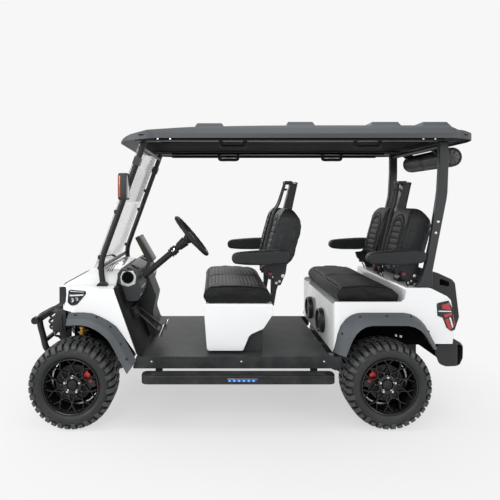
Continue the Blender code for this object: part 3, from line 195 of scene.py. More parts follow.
def tone_group():
    """Slow light and dark drift of a colour over a large piece."""
    tree, given, result = new_group("tone_drift", [("Scale", 5.0), ("Amount", 0.1)], "Tone")
    tree.links.new(sum_of(tree, "MULTIPLY", noise(tree, given[0], 4.0), given[1]), result)
    return tree


GRAIN = moulded_grain_group()
WEAR = edge_wear_group()
DUST = road_dust_group()
TONE = tone_group()


def use(tree, group, **values):
    """A group placed in a material with its own values."""
    made = tree.nodes.new("ShaderNodeGroup")
    made.node_tree = group
    for key, value in values.items():
        made.inputs[key.replace("_", " ")].default_value = value
    return made.outputs[0]


def new_material(name):
    made = bpy.data.materials.new(name)
    made.use_nodes = True
    return made, made.node_tree, made.node_tree.nodes["Principled BSDF"]


def grey(value, blue=1.0):
    """A near neutral colour, with its blue part scaled."""
    return (value, value * (0.5 + 0.5 * blue), value * blue, 1.0)


def darker(colour, share):
    return tuple(part * share for part in colour[:3]) + (1.0,)


def feed(shader, base, rough, height=None, strength=0.5, depth=0.0003, **more):
    """Feeds a shader its colour, roughness, bump height and further sockets, by value or by link."""
    tree = shader.id_data
    inputs = {"Base Color": base, "Roughness": rough}
    if height is not None:
        bump = {"Strength": strength, "Distance": depth, "Height": height}
        inputs["Normal"] = shader_node(tree, "ShaderNodeBump", bump).outputs[0]
    inputs.update({key.replace("_", " "): value for key, value in more.items()})
    put(tree, shader, inputs)


DUST_COLOUR = (0.34, 0.32, 0.29, 1)


def moulded(name, colour, roughness, metallic, coat, cells, depth, tone, worn, dusty, gleam):
    """A hard or rubbery finish: base colour, slow tone drift, rubbed edges, dust and a fine grain."""
    made, tree, shader = new_material(name)
    drift = use(tree, TONE, Scale=4.0, Amount=tone)
    base = colour_mix(tree, drift, colour, darker(colour, 0.72))
    rough = sum_of(tree, "MULTIPLY_ADD", drift, 0.25, roughness - 0.02)
    if worn[0]:
        base = colour_mix(tree, use(tree, WEAR, Radius=0.0025, Amount=worn[0]), base, worn[1])
    if dusty[1]:
        dust = use(tree, DUST, Top=dusty[0], Amount=dusty[1])
        base = colour_mix(tree, dust, base, DUST_COLOUR)
        rough = sum_of(tree, "MULTIPLY_ADD", dust, 0.4, rough, clamp=True)
    feed(shader, base, rough, use(tree, GRAIN, Cells_per_metre=cells), 0.5, depth / 1000, Metallic=metallic,
         Specular_IOR_Level=gleam, Coat_Weight=coat, Coat_Roughness=0.08)
    return made


# What shows where a finish is rubbed: pale plastic or bare steel
PALE = (0.16, 0.16, 0.17, 1)
STEEL = (0.42, 0.42, 0.43, 1)

# Name: colour, roughness, metallic, coat, grain cells per metre, grain depth in millimetres, tone drift,
# wear (amount, colour below), dust (height where it ends, amount), gleam
PLAIN_FINISHES = {
    "white_paint": (grey(0.78, 1.02), 0.24, 0, 0.8, 2400, 0.03, 0.08, (0.25, grey(0.62)), (0.62, 0.30), 0.4),
    "roof_grey": (grey(0.046, 1.28), 0.46, 0, 0, 1100, 0.25, 0.30, (0.5, PALE), (2.4, 0.06), 0.35),
    "flare_charcoal": (grey(0.064, 1.30), 0.46, 0, 0, 1000, 0.3, 0.30, (0.6, PALE), (0.75, 0.35), 0.40),
    "black_plastic": (grey(0.009, 1.15), 0.48, 0, 0, 1100, 0.3, 0.35, (0.5, PALE), (0.60, 0.30), 0.28),
    "bumper_black": (grey(0.016, 1.05), 0.46, 0, 0, 1000, 0.3, 0.30, (0.6, PALE), (0.60, 0.20), 0.34),
    "mirror_glass": (grey(0.20, 1.02), 0.06, 1.0, 0, 2400, 0.01, 0.10, (0.0, PALE), (0.60, 0.0), 0.5),
    "ceiling_black": (grey(0.002, 1.0), 0.72, 0, 0, 1100, 0.3, 0.35, (0.0, PALE), (0.60, 0.0), 0.05),
    "satin_black_steel": (grey(0.009, 1.2), 0.42, 0.1, 0.1, 1600, 0.1, 0.35, (0.7, STEEL), (0.60, 0.30), 0.32),
    "strut_grey": (grey(0.025, 1.15), 0.42, 0.1, 0, 1800, 0.1, 0.30, (0.6, STEEL), (0.60, 0.10), 0.32),
    "dash_grey": (grey(0.026, 1.12), 0.50, 0, 0, 1000, 0.3, 0.35, (0.4, PALE), (0.60, 0.05), 0.32),
    "dash_silver": (grey(0.50, 1.03), 0.32, 0.1, 0.2, 1600, 0.1, 0.20, (0.4, grey(0.62)), (0.60, 0.05), 0.5),
    "dark_steel": (grey(0.035, 1.03), 0.40, 0.5, 0, 900, 0.2, 0.40, (0.4, STEEL), (0.60, 0.20), 0.3),
    "cast_grey": (grey(0.16, 1.03), 0.52, 0.6, 0, 500, 0.5, 0.40, (0.6, STEEL), (0.60, 0.50), 0.4),
    "bright_steel": (grey(0.66, 1.02), 0.22, 1.0, 0, 2000, 0.04, 0.20, (0.3, grey(0.75)), (0.60, 0.20), 0.5),
    "chrome": (grey(0.74, 1.02), 0.10, 1.0, 0, 2400, 0.02, 0.10, (0.0, grey(0.75)), (0.60, 0.10), 0.5),
    "brake_red": ((0.48, 0.008, 0.012, 1), 0.34, 0, 0.4, 900, 0.2, 0.35, (0.3, STEEL), (0.50, 0.25), 0.5),
    "spring_gold": ((0.60, 0.36, 0.06, 1), 0.34, 0.7, 0.3, 1200, 0.1, 0.30, (0.3, STEEL), (0.60, 0.30), 0.5),
    "gloss_black": (grey(0.003, 1.1), 0.20, 0, 0.15, 2400, 0.03, 0.20, (0.5, PALE), (0.50, 0.12), 0.4),
    "battery_case": (grey(0.030, 1.0), 0.50, 0, 0, 900, 0.3, 0.30, (0.3, PALE), (0.60, 0.20), 0.4),
    "amber_lens": ((0.42, 0.075, 0.012, 1), 0.16, 0, 0.6, 1500, 0.1, 0.15, (0.0, PALE), (0.60, 0.0), 0.5),
    "buckle_red": ((0.11, 0.008, 0.016, 1), 0.34, 0, 0.2, 1500, 0.1, 0.20, (0.2, PALE), (0.60, 0.0), 0.4),
    "lamp_black": (grey(0.008, 1.1), 0.26, 0, 0.3, 2000, 0.05, 0.20, (0.0, PALE), (0.60, 0.0), 0.4),
    # The screen's slight olive tint is a painted reflection
    "screen_glass_painted_olive_reflection": (grey(0.012, 0.8), 0.32, 0, 0.05, 2400, 0.01, 0.10, (0.0, PALE), (0.60, 0.0), 0.2),
}
FINISH = {label: moulded(label, *row) for label, row in PLAIN_FINISHES.items()}


def shade_and_highlight_of(tree):
    """The values of painted shade and painted highlight that a mesh carries as a named attribute."""
    return shader_node(tree, "ShaderNodeAttribute", attribute_name="shade_and_highlight").outputs["Fac"]


def rubber_mat():
    """Black matting whose fine ribs run fore and aft."""
    made, tree, shader = new_material("ribbed_rubber")
    ribs = sum_of(tree, "SINE", sum_of(tree, "MULTIPLY", part_of(tree, "Y"), 2 * math.pi / 0.014))
    height = sum_of(tree, "MULTIPLY_ADD", use(tree, GRAIN, Cells_per_metre=1300.0), 0.3, ribs)
    dust = use(tree, DUST, Top=0.9, Amount=0.30)
    base = colour_mix(tree, use(tree, TONE, Scale=7.0, Amount=0.5), grey(0.024, 1.14), grey(0.014, 1.1))
    base = colour_mix(tree, dust, base, (0.26, 0.28, 0.26, 1))
    rough = sum_of(tree, "MULTIPLY_ADD", dust, 0.3, 0.50)
    feed(shader, base, rough, height, 0.7, 0.0012, Specular_IOR_Level=0.20)
    return made


def seat_hide(name, colour, shine):
    """Grained vinyl hide: the mesh's painted shade values darken the sewn grooves as painted shade, and
    roughen them.
    """
    made, tree, shader = new_material(name)
    shade_and_highlight = shade_and_highlight_of(tree)
    drift = use(tree, TONE, Scale=6.0, Amount=0.5)
    base = colour_mix(tree, drift, colour, darker(colour, 0.65))
    # Painted shade: near black in the sewn grooves
    base = colour_mix(tree, shade_and_highlight, base, grey(0.004))
    base = colour_mix(tree, use(tree, WEAR, Radius=0.006, Amount=0.35), base, (0.035, 0.036, 0.038, 1))
    rough = sum_of(tree, "MULTIPLY_ADD", drift, 0.3, shine)
    creases = noise(tree, 26.0, 4.0, Distortion=0.6)
    height = sum_of(tree, "MULTIPLY_ADD", creases, 0.7, use(tree, GRAIN, Cells_per_metre=620.0))
    feed(shader, base, sum_of(tree, "MULTIPLY_ADD", shade_and_highlight, 0.3, rough, clamp=True), height, 0.55, 0.0006,
         Specular_IOR_Level=0.18)
    return made


def tyre_rubber():
    """Dull black rubber: painted shade in its grooves, a painted highlight on its blocks' tops, dusty below
    and scuffed on its edges.
    """
    made, tree, shader = new_material("tyre_rubber")
    shade_and_highlight = shade_and_highlight_of(tree)
    base = colour_mix(tree, use(tree, TONE, Scale=18.0, Amount=0.6), grey(0.017, 1.14), grey(0.010, 1.1))
    # Painted shade: near black where the values are positive, in the grooves
    base = colour_mix(tree, shade_and_highlight, base, (0.003, 0.003, 0.0035, 1))
    # Painted highlight: paler where the values are negative, on the blocks' tops
    base = colour_mix(tree, sum_of(tree, "MULTIPLY", shade_and_highlight, -1.0, clamp=True), base, grey(0.042, 1.06))
    dust = use(tree, DUST, Top=0.62, Amount=0.22)
    base = colour_mix(tree, dust, base, grey(0.16))
    base = colour_mix(tree, use(tree, WEAR, Radius=0.004, Amount=0.8), base, (0.070, 0.072, 0.078, 1))
    rough = sum_of(tree, "MULTIPLY_ADD", dust, 0.2, 0.52)
    feed(shader, base, rough, use(tree, GRAIN, Cells_per_metre=1200.0), 0.5, 0.0004, Specular_IOR_Level=0.38)
    return made


def webbing():
    """Ribbed seat-belt weave."""
    made, tree, shader = new_material("belt_webbing")
    weave = waves(tree, 90.0, 0.4, "Z")
    feed(shader, colour_mix(tree, weave, grey(0.008), grey(0.013, 1.05)),
         ranged(tree, weave, 0.0, 1.0, 0.62, 0.50), weave, 0.5, 0.0004)
    return made


def speaker_mesh():
    """Black punched grille."""
    made, tree, shader = new_material("speaker_mesh")
    holes = shader_node(tree, "ShaderNodeTexVoronoi", {"Vector": place_of(tree), "Scale": 260.0})
    mask = ranged(tree, holes.outputs["Distance"], 0.30, 0.42)
    base = colour_mix(tree, mask, grey(0.003), grey(0.045, 1.1))
    feed(shader, base, ranged(tree, mask, 0.0, 1.0, 0.8, 0.35), mask, 0.8, 0.001)
    return made


SCREEN_FOLD = 1.540


def clear_plastic(name, tint, see_through, roughness, upper_haze=0.0):
    """Clear sheet or lens: mostly open, with a faint haze that is stronger above the screen's fold."""
    made, tree, shader = new_material(name)
    haze = noise(tree, 7.0, 6.0)
    alpha = ranged(tree, haze, 0.3, 0.7, 1 - see_through - 0.03, 1 - see_through + 0.03)
    above = ranged(tree, part_of(tree, "Z"), SCREEN_FOLD - 0.004, SCREEN_FOLD + 0.004, 0.0, upper_haze)
    feed(shader, colour_mix(tree, haze, tint, darker(tint, 0.9)),
         ranged(tree, haze, 0.3, 0.7, roughness, roughness + 0.05),
         Alpha=sum_of(tree, "ADD", alpha, above, clamp=True), Coat_Weight=0.5)
    return made


def ribbed_lens(name, dark, bright, glow):
    """A lamp lens over flutes: bands of light and dark, with a little light of its own."""
    made, tree, shader = new_material(name)
    flutes = waves(tree, 55.0, 0.0, "X")
    base = colour_mix(tree, flutes, dark, bright)
    feed(shader, base, 0.12, flutes, 0.4, 0.0008, Emission_Color=base, Emission_Strength=glow,
         Coat_Weight=1.0)
    return made


def light_strip():
    """Blue light-emitting dots in a clear strip."""
    made, tree, shader = new_material("blue_light_strip")
    wave = sum_of(tree, "SINE", sum_of(tree, "MULTIPLY", part_of(tree, "X"), 2 * math.pi / 0.032))
    base = colour_mix(tree, ranged(tree, wave, -0.4, 0.8), (0.004, 0.03, 0.22, 1), (0.10, 0.36, 1.0, 1))
    feed(shader, base, 0.25, Emission_Color=base, Emission_Strength=0.75)
    return made


FINISH.update({
    "ribbed_rubber": rubber_mat(),
    "seat_hide": seat_hide("seat_hide", grey(0.0075, 1.10), 0.46),
    # A paler copy of the seat hide; on the seat backs' flanks and the cushions' piping its paleness is a
    # painted highlight
    "pale_hide": seat_hide("pale_hide", grey(0.022, 1.14), 0.42),
    "tyre_rubber": tyre_rubber(),
    "belt_webbing": webbing(),
    "speaker_mesh": speaker_mesh(),
    "windshield_clear": clear_plastic("windshield_clear", (0.42, 0.42, 0.41, 1), 0.72, 0.08, 0.20),
    "lamp_clear": clear_plastic("lamp_clear", (0.50, 0.52, 0.55, 1), 0.70, 0.04),
    "tail_red": ribbed_lens("tail_red", (0.16, 0.004, 0.006, 1), (0.50, 0.012, 0.020, 1), 0.04),
    "lamp_white": ribbed_lens("lamp_white", (0.34, 0.36, 0.40, 1), (0.85, 0.88, 0.92, 1), 0.10),
    "blue_light_strip": light_strip(),
})


def region(tree, join, tests):
    """1 where the tests (measure, comparison, limit) hold: every one for MULTIPLY, any one for MAXIMUM."""
    true = shader_node(tree, "ShaderNodeNewGeometry").outputs["True Normal"]
    inside = None
    for measure, comparison, limit in tests:
        value = part_of(tree, "Z", true) if measure == "fall" else part_of(tree, measure)
        found = sum_of(tree, comparison, value, limit)
        inside = found if inside is None else sum_of(tree, join, inside, found)
    return inside


def recolour_region(name, plain, colour, join, *tests):
    """A finish whose colour changes inside a region of the piece, for the painted shade and painted reflection
    below.
    """
    made = FINISH[plain].copy()
    made.name = name
    tree = made.node_tree
    shader = tree.nodes["Principled BSDF"]
    before = shader.inputs["Base Color"].links[0].from_socket
    put(tree, shader, {"Base Color": colour_mix(tree, region(tree, join, tests), before, colour)})
    FINISH[name] = made


# Near black below the roof's lip line, and painted shade on its down-facing underside
recolour_region("roof_with_painted_underside_shade", "roof_grey", grey(0.002), "MAXIMUM", ("Z", "LESS_THAN", 1.963),
         ("fall", "LESS_THAN", -0.30))
# Painted shade: near black on the toe board under the dash
recolour_region("deck_with_painted_toe_board_shade", "ribbed_rubber", grey(0.002), "MULTIPLY", ("X", "GREATER_THAN", 0.42),
         ("Z", "GREATER_THAN", 0.475))
# Painted shade: near black on the white body's down-facing faces below z 0.8, as in the wheel arches
recolour_region("body_white_with_painted_shade_below", "white_paint", grey(0.006), "MULTIPLY", ("Z", "LESS_THAN", 0.80),
         ("fall", "LESS_THAN", -0.12))
# Painted reflection: an olive tint on the display's case
recolour_region("dash_with_painted_display_reflection", "dash_grey", (0.022, 0.022, 0.014, 1), "MULTIPLY", ("Y", "LESS_THAN", 0.115),
         ("Y", "GREATER_THAN", -0.115), ("Z", "GREATER_THAN", 1.075))


# ---------------------------------------------------------------------------------------------
# Mesh making
# ---------------------------------------------------------------------------------------------


def turned_to(axis):
    """Rotation that takes +Z to the axis."""
    return Vector(axis).to_track_quat("Z", "Y").to_matrix().to_4x4()


def add_box(bm, corner_a, corner_b, rounding=0.0, turn=Matrix.Identity(4)):
    """A block between two corners, turned about its own middle, with rounded edges."""
    a, b = Vector(corner_a), Vector(corner_b)
    size = Vector(abs(v) for v in b - a)
    place = Matrix.Translation((a + b) / 2) @ turn @ Matrix.Diagonal((*size, 1))
    verts = bmesh.ops.create_cube(bm, size=1.0, matrix=place)["verts"]
    if rounding:
        edges = list({e for v in verts for e in v.link_edges})
        bmesh.ops.bevel(bm, geom=edges, offset=rounding, segments=2, profile=0.5, affect="EDGES")


def box_by(bm, spot, corner_a, corner_b, rounding=0.0, turn=Matrix.Identity(4)):
    """A block whose corners are measured from a spot."""
    add_box(bm, spot + Vector(corner_a), spot + Vector(corner_b), rounding, turn)


def join_rings(bm, rings, closed=False, capped=True):
    """Faces between rings of equally many corners. The end rings are filled unless the rings close up."""
    for one, two in zip(rings, rings[1:] + (rings[:1] if closed else [])):
        for k in range(len(one)):
            n = (k + 1) % len(one)
            bm.faces.new((one[k], one[n], two[n], two[k]))
    if capped and not closed:
        return bm.faces.new(list(reversed(rings[0]))), bm.faces.new(rings[-1])


def round_about(count, start=0.0):
    """Evenly spaced angles of a full turn, in radians."""
    return [start + 2 * math.pi * k / count for k in range(count)]


def add_lathe(bm, profile, origin, axis, segments=48, closed=False):
    """A profile of (radius, distance along the axis) turned about it. An open profile's ends are capped."""
    place = Matrix.Translation(origin) @ turned_to(axis)
    rings = [[bm.verts.new(place @ Vector((radius * math.cos(turn), radius * math.sin(turn), along)))
              for turn in round_about(segments)] for radius, along in profile]
    join_rings(bm, rings, closed)


def add_rod(bm, start, end, radius, segments=16, chamfer=0.0):
    """A round bar with chamfered ends."""
    a, b = Vector(start), Vector(end)
    long = (b - a).length
    cut = min(chamfer, radius * 0.6, long * 0.4)
    profile = [(radius - cut, 0), (radius, cut), (radius, long - cut), (radius - cut, long)]
    if not cut:
        profile = [(radius, 0), (radius, long)]
    add_lathe(bm, profile, a, b - a, segments)


def smooth_route(points, count):
    """Points on a smooth curve through the given ones."""
    given = [Vector(p) for p in points]
    ends = [2 * given[0] - given[1], *given, 2 * given[-1] - given[-2]]
    spans = len(given) - 1
    route = []
    for k in range(count):
        at = k * spans / (count - 1)
        i = min(int(at), spans - 1)
        t = at - i
        p0, p1, p2, p3 = ends[i:i + 4]
        route.append(0.5 * ((2 * p1) + (p2 - p0) * t + (2 * p0 - 5 * p1 + 4 * p2 - p3) * t * t
                            + (3 * p1 - p0 - 3 * p2 + p3) * t ** 3))
    return route


def add_sweep(bm, route, section, across=None, closed=False):
    """A closed section of (sideways, upward) points carried along a route. across fixes the sideways way."""
    rings, count, side = [], len(route), None
    for i, here in enumerate(route):
        after = route[(i + 1) % count] if closed or i + 1 < count else here
        before = route[i - 1] if closed or i else here
        along = (after - before).normalized()
        if across is not None:
            side = (Vector(across) - along * Vector(across).dot(along)).normalized()
        elif side is None:
            side = along.orthogonal().normalized()
        else:
            side = (side - along * side.dot(along)).normalized()
        up = along.cross(side)
        rings.append([bm.verts.new(here + side * u + up * v) for u, v in section])
    join_rings(bm, rings, closed)


def circle(radius, sides=10, start=0.0):
    return [(radius * math.cos(turn), radius * math.sin(turn)) for turn in round_about(sides, start)]


def add_pipe(bm, route, radius, sides=10, closed=False):
    add_sweep(bm, [Vector(p) for p in route], circle(radius, sides), closed=closed)


def add_ribbon(bm, route, width, thick, across=ACROSS):
    """A flat strap along a route, with rounded edges."""
    half, depth = width / 2, thick / 2
    lower = [(-half, -depth * 0.4), (-half + depth, -depth), (half - depth, -depth), (half, -depth * 0.4)]
    add_sweep(bm, [Vector(p) for p in route], lower + [(u, -v) for u, v in reversed(lower)], across)


def add_prism(bm, outline, push, rounding=0.0):
    """A flat outline of 3-D points pushed out by a vector, with its rim edges rounded."""
    rings = [[bm.verts.new(Vector(p) + Vector(push) * share) for p in outline] for share in (0, 1)]
    ends = join_rings(bm, rings)
    if rounding:
        rim = [e for f in ends for e in f.edges]
        bmesh.ops.bevel(bm, geom=rim, offset=rounding, segments=2, profile=0.5, affect="EDGES")


def mesh_of(bm, name):
    """The finished mesh of what was modelled, with its normals outwards."""
    bmesh.ops.recalc_face_normals(bm, faces=bm.faces)
    mesh = bpy.data.meshes.new(name)
    bm.to_mesh(mesh)
    bm.free()
    return mesh


def piece(name, bm, finish, body=CHASSIS, sharp=32):
    """Turns what was modelled into a named piece that rides on a body."""
    return piece_of(name, mesh_of(bm, name), finish, body, sharp)


def several(count):
    """Empty meshes to model in."""
    return [bmesh.new() for _ in range(count)]


def add_plate(bm, outline, y, thick, side, rounding):
    """An upright plate along the cart, from an outline of (x, z) points, on one side of the middle."""
    add_prism(bm, [Vector((x, y * side, z)) for x, z in outline], (0, thick * side, 0), rounding)


def piece_of(name, mesh, finish, body=CHASSIS, sharp=32):
    obj = bpy.data.objects.new(name, mesh)
    bpy.context.scene.collection.objects.link(obj)
    mesh.materials.clear()
    mesh.materials.append(FINISH[finish])
    mesh.shade_smooth()
    mesh.set_sharp_from_angle(angle=math.radians(sharp))
    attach(obj, body)
    return obj


def bolt(bm, place, axis, radius=0.006, tall=0.004):
    """A domed bolt head standing on its washer."""
    add_lathe(bm, [(radius * 1.45, -0.001), (radius * 1.45, 0.0012), (radius * 1.05, 0.0016)], place, axis,
              14)
    add_lathe(bm, [(radius, 0.0), (radius, tall * 0.55), (radius * 0.72, tall), (radius * 0.30, tall),
                   (radius * 0.28, tall * 0.5)], place, axis, 12)


_surfaces = {}


def surface_of(mesh):
    """A mesh's surface, to be met by lines."""
    mesh.calc_loop_triangles()
    return BVHTree.FromPolygons([v.co.copy() for v in mesh.vertices],
                                [tuple(t.vertices) for t in mesh.loop_triangles])


def surface_at(node, origin, direction):
    """The first point of a CAD node's surface that a line meets, or None."""
    if node not in _surfaces:
        _surfaces[node] = surface_of(nodes[node].data)
    return _surfaces[node].ray_cast(Vector(origin), Vector(direction))[0]


def spread(start, stop, count):
    """Evenly spaced values from start to stop."""
    return [start + (stop - start) * k / (count - 1) for k in range(count)]


def route_on(node, starts, direction, lift=ORIGIN):
    """Where lines from several points meet a CAD node, lifted off it."""
    hits = [surface_at(node, start, direction) for start in starts]
    return [hit + Vector(lift) for hit in hits if hit]


def subdivided(outline, step, whole=round):
    """A closed outline of 2-D points with further points along its sides."""
    points = []
    for (x0, z0), (x1, z1) in zip(outline, outline[1:] + outline[:1]):
        parts = max(1, whole(math.hypot(x1 - x0, z1 - z0) / step))
        points += [(x0 + (x1 - x0) * k / parts, z0 + (z1 - z0) * k / parts) for k in range(parts)]
    return points


def add_patch(bm, node, side, lift, *outline):
    """A thin plate laid on the outer side of a CAD node, from an outline of (x, z) points."""
    laid = []
    for x, z in subdivided(outline, 0.010):
        hit = surface_at(node, (x, 1.2 * side, z), (0, -side, 0))
        y = hit.y if hit else (laid[-1].y if laid else 0.555 * side)
        laid.append(Vector((x, y, z)))
    out = ACROSS * side
    add_prism(bm, [p - out * 0.002 for p in laid], out * (lift + 0.002), min(0.0008, lift * 0.4))


# ---------------------------------------------------------------------------------------------
# Frame pieces that keep their CAD shape
# ---------------------------------------------------------------------------------------------

# CAD nodes, finish, width of their rounded edges. The nodes with a side come twice.
SIDED = [
    ("side_step", "black_plastic", 0.004), ("headlight", "lamp_black", 0.002),
    ("front_flare", "flare_charcoal", 0.003), ("rear_flare", "flare_charcoal", 0.003),
    ("tail_light", "lamp_black", 0.002), ("knuckle", "dark_steel", 0.002), ("speaker", "black_plastic", 0.002),
]
KEPT = [
    ("chassis_frame", "satin_black_steel", 0.003), ("floor_deck", "deck_with_painted_toe_board_shade", 0.003),
    ("front_cowl", "body_white_with_painted_shade_below", 0.004), ("front_fascia", "black_plastic", 0.003),
    ("dashboard", "dash_with_painted_display_reflection", 0.003), ("steering_column", "black_plastic", 0.001),
    ("pedals", "satin_black_steel", 0.001), ("windshield", "windshield_clear", 0.001),
    ("front_struts", "satin_black_steel", 0.001), ("rear_struts", "strut_grey", 0.003),
    ("sound_bar", "black_plastic", 0.003), ("roof", "roof_with_painted_underside_shade", 0.004), ("mirror", "dash_grey", 0.005),
    ("front_liner", "ceiling_black", 0.002), ("rear_liner", "ceiling_black", 0.002),
    ("front_seat_pod", "white_paint", 0.004), ("battery_pack", "battery_case", 0.004),
    ("front_seat_frame", "satin_black_steel", 0.002), ("rear_seat_frame", "satin_black_steel", 0.002),
    ("rear_body", "body_white_with_painted_shade_below", 0.005), ("bag_well", "bumper_black", 0.004),
    ("rear_bumper", "bumper_black", 0.005), ("rear_axle", "satin_black_steel", 0.002),
    ("front_suspension", "satin_black_steel", 0.002), ("tie_rod", "satin_black_steel", 0.001),
    ("steering_wheel", "black_plastic", 0.001),
] + [(f"{name}_{label}", *look) for name, *look in SIDED for label, _ in SIDES]
SHADING_ANGLE = math.radians(34)


def smooth_shading_tools():
    """Geometry nodes that join split corners and shade gentle bends smooth."""
    tree = bpy.data.node_groups.new("joined_and_smooth", "GeometryNodeTree")
    for way in ("INPUT", "OUTPUT"):
        tree.interface.new_socket("Geometry", in_out=way, socket_type="NodeSocketGeometry")
    inlet, outlet = tree.nodes.new("NodeGroupInput"), tree.nodes.new("NodeGroupOutput")

    def then(kind, before, inputs, **settings):
        return shader_node(tree, kind, {"Geometry": before.outputs[0], **inputs}, **settings)

    clean = then("GeometryNodeRemoveAttribute", inlet, {"Name": "custom_normal"})
    whole = then("GeometryNodeMergeByDistance", clean, {"Distance": 0.00002})
    faces = then("GeometryNodeSetShadeSmooth", whole, {"Shade Smooth": True}, domain="FACE")
    angle = shader_node(tree, "GeometryNodeInputMeshEdgeAngle").outputs[0]
    gentle = shader_node(tree, "FunctionNodeCompare", {0: angle, 1: SHADING_ANGLE}, operation="LESS_THAN")
    edges = then("GeometryNodeSetShadeSmooth", faces, {"Shade Smooth": gentle.outputs[0]}, domain="EDGE")
    tree.links.new(edges.outputs[0], outlet.inputs[0])
    return tree


JOINED = smooth_shading_tools()


def finish_kept_nodes():
    """Gives each CAD node that stays its finish, smooth shading and rounded edges."""
    for name, finish, rounding in KEPT:
        obj = nodes[name]
        for material_slot in obj.material_slots:
            material_slot.material = FINISH[finish]
        obj.modifiers.new("joined", "NODES").node_group = JOINED
        flat = obj.modifiers.new("flat_faces", "DECIMATE")
        flat.decimate_type = "DISSOLVE"
        flat.angle_limit = math.radians(0.4)
        flat.delimit = {"SHARP"}
        soft = obj.modifiers.new("soft_edges", "BEVEL")
        soft.width = rounding
        soft.segments = 2
        soft.limit_method = "ANGLE"
        soft.angle_limit = SHADING_ANGLE
        soft.harden_normals = True


finish_kept_nodes()


# ---------------------------------------------------------------------------------------------
# Wheels
# ---------------------------------------------------------------------------------------------

TYRE_HALF = (high("tyre_front_left").y - low("tyre_front_left").y) / 2
TYRE_RADIUS = (high("tyre_front_left").z - low("tyre_front_left").z) / 2
# Distance out and radius of the tyre's outer line, from the middle of the tread to the bead
TYRE_LINE = [(0.0, 1.0), (0.40, 0.9990), (0.66, 0.9955), (0.80, 0.983), (0.890, 0.958), (0.955, 0.918),
             (0.990, 0.866), (1.0, 0.808), (0.978, 0.746), (0.915, 0.700), (0.815, 0.663)]
PITCHES = 18
TREAD_DEPTH = 0.0135
BEAD_RADIUS = 0.1802
# Values of the painted shade and highlight attribute on a tyre: painted shade in its grooves, a painted
# highlight on top of its blocks
SUNK, RAISED = 0.8, -1.0
# Tread blocks of one pitch: four corners as (share of the pitch, distance across the tread in metres)
SHOULDER_LUGS = [
    [(0.02, 0.073), (0.41, 0.081), (0.44, 0.152), (0.11, 0.152)],
    [(0.53, 0.081), (0.91, 0.073), (0.92, 0.137), (0.60, 0.137)],
]
INNER_BLOCKS = [
    [(0.00, 0.030), (0.38, 0.037), (0.45, 0.073), (0.07, 0.065)],
    [(0.50, 0.037), (0.88, 0.030), (0.94, 0.065), (0.57, 0.073)],
]
CENTRE_BLOCKS = [
    [(0.10, 0.002), (0.48, 0.002), (0.41, 0.028), (0.03, 0.022)],
    [(0.60, 0.002), (0.98, 0.002), (0.91, 0.022), (0.53, 0.028)],
]


class TyreLine:
    """The tyre's outer line by distance across it from the middle of the tread."""

    def __init__(self):
        route = smooth_route([(out * TYRE_HALF, radius * TYRE_RADIUS, 0) for out, radius in TYRE_LINE], 81)
        self.points = np.array([(p.x, p.y) for p in route])
        steps = np.linalg.norm(np.diff(self.points, axis=0), axis=1)
        self.along = np.concatenate([[0.0], np.cumsum(steps)])
        self.length = self.along[-1]

    def on_line(self, way):
        return np.array([np.interp(way, self.along, self.points[:, i]) for i in (0, 1)])

    def at(self, across, lift, turn):
        """A point at a distance across, lifted off the line, at an angle round the wheel."""
        way = min(abs(across), self.length - 1e-6)
        run = self.on_line(way + 0.002) - self.on_line(max(way - 0.002, 0))
        run /= max(np.linalg.norm(run), 1e-9)
        out, radius = self.on_line(way) + np.array([-run[1], run[0]]) * lift
        return Vector((radius * math.cos(turn), math.copysign(1, across) * out, radius * math.sin(turn)))


def tyre_carcass(bm, line, shade_and_highlight):
    """The casing below the tread, with moulded rings on its sidewalls."""
    outer = []
    for way in np.linspace(0, line.length, 36):
        sunk = -TREAD_DEPTH * (1 - max(0.0, min(1.0, (way - 0.122) / 0.056)))
        ring = sum(0.0018 * math.exp(-((way - at) / 0.0034) ** 2) for at in (0.186, 0.206))
        outer.append((way, sunk + ring))
    rows = [(-way, lift) for way, lift in reversed(outer)] + outer[1:]
    turns = round_about(112)
    rings = [[bm.verts.new(line.at(way, lift, turn)) for turn in turns] for way, lift in rows]
    bead_out = line.points[-1][0] * 0.97
    for out in (bead_out, -bead_out):
        rings.append([bm.verts.new((BEAD_RADIUS * math.cos(turn), out, BEAD_RADIUS * math.sin(turn)))
                      for turn in turns])
    join_rings(bm, rings, closed=True)
    # The casing between the blocks takes painted shade
    for ring, (way, _) in zip(rings, rows):
        if abs(way) < 0.150:
            for vert in ring:
                vert[shade_and_highlight] = SUNK


def tread_block(bm, line, corners, turn, mirror, shade_and_highlight):
    """One closed block of tread over the casing, with a chamfered top."""
    ends = [across for _, across in corners]
    steps = round((max(ends) - min(ends)) / 0.014)
    stagger = 0.25 if mirror < 0 else 0
    a, b, c, d = (np.array(corner) for corner in corners)

    def spot(u, v, lift):
        near, far = a + (b - a) * u, d + (c - d) * u
        share, across = near + (far - near) * v
        return line.at(across * mirror, lift, turn + (share + stagger) * 2 * math.pi / PITCHES)

    layers = []
    # Painted shade at each block's foot, none on its sides, a painted highlight on its top
    for inset, lift, mark in ((0.0, -TREAD_DEPTH - 0.003, SUNK), (0.0, -0.0030, 0.0), (0.10, 0.0012, RAISED)):
        shares = np.clip(np.linspace(inset / 2, 1 - inset / 2, steps + 1), inset * 0.6, 1 - inset * 0.6)
        layers.append([[bm.verts.new(spot(u, v, lift)) for u in (inset, 1 - inset)] for v in shares])
        for row in layers[-1]:
            for vert in row:
                vert[shade_and_highlight] = mark
    rims = [[row[0] for row in grid] + [row[1] for row in reversed(grid)] for grid in layers]
    join_rings(bm, rims, capped=False)
    for grid in (layers[0], layers[2]):
        for one, two in zip(grid, grid[1:]):
            bm.faces.new((*one, *reversed(two)))


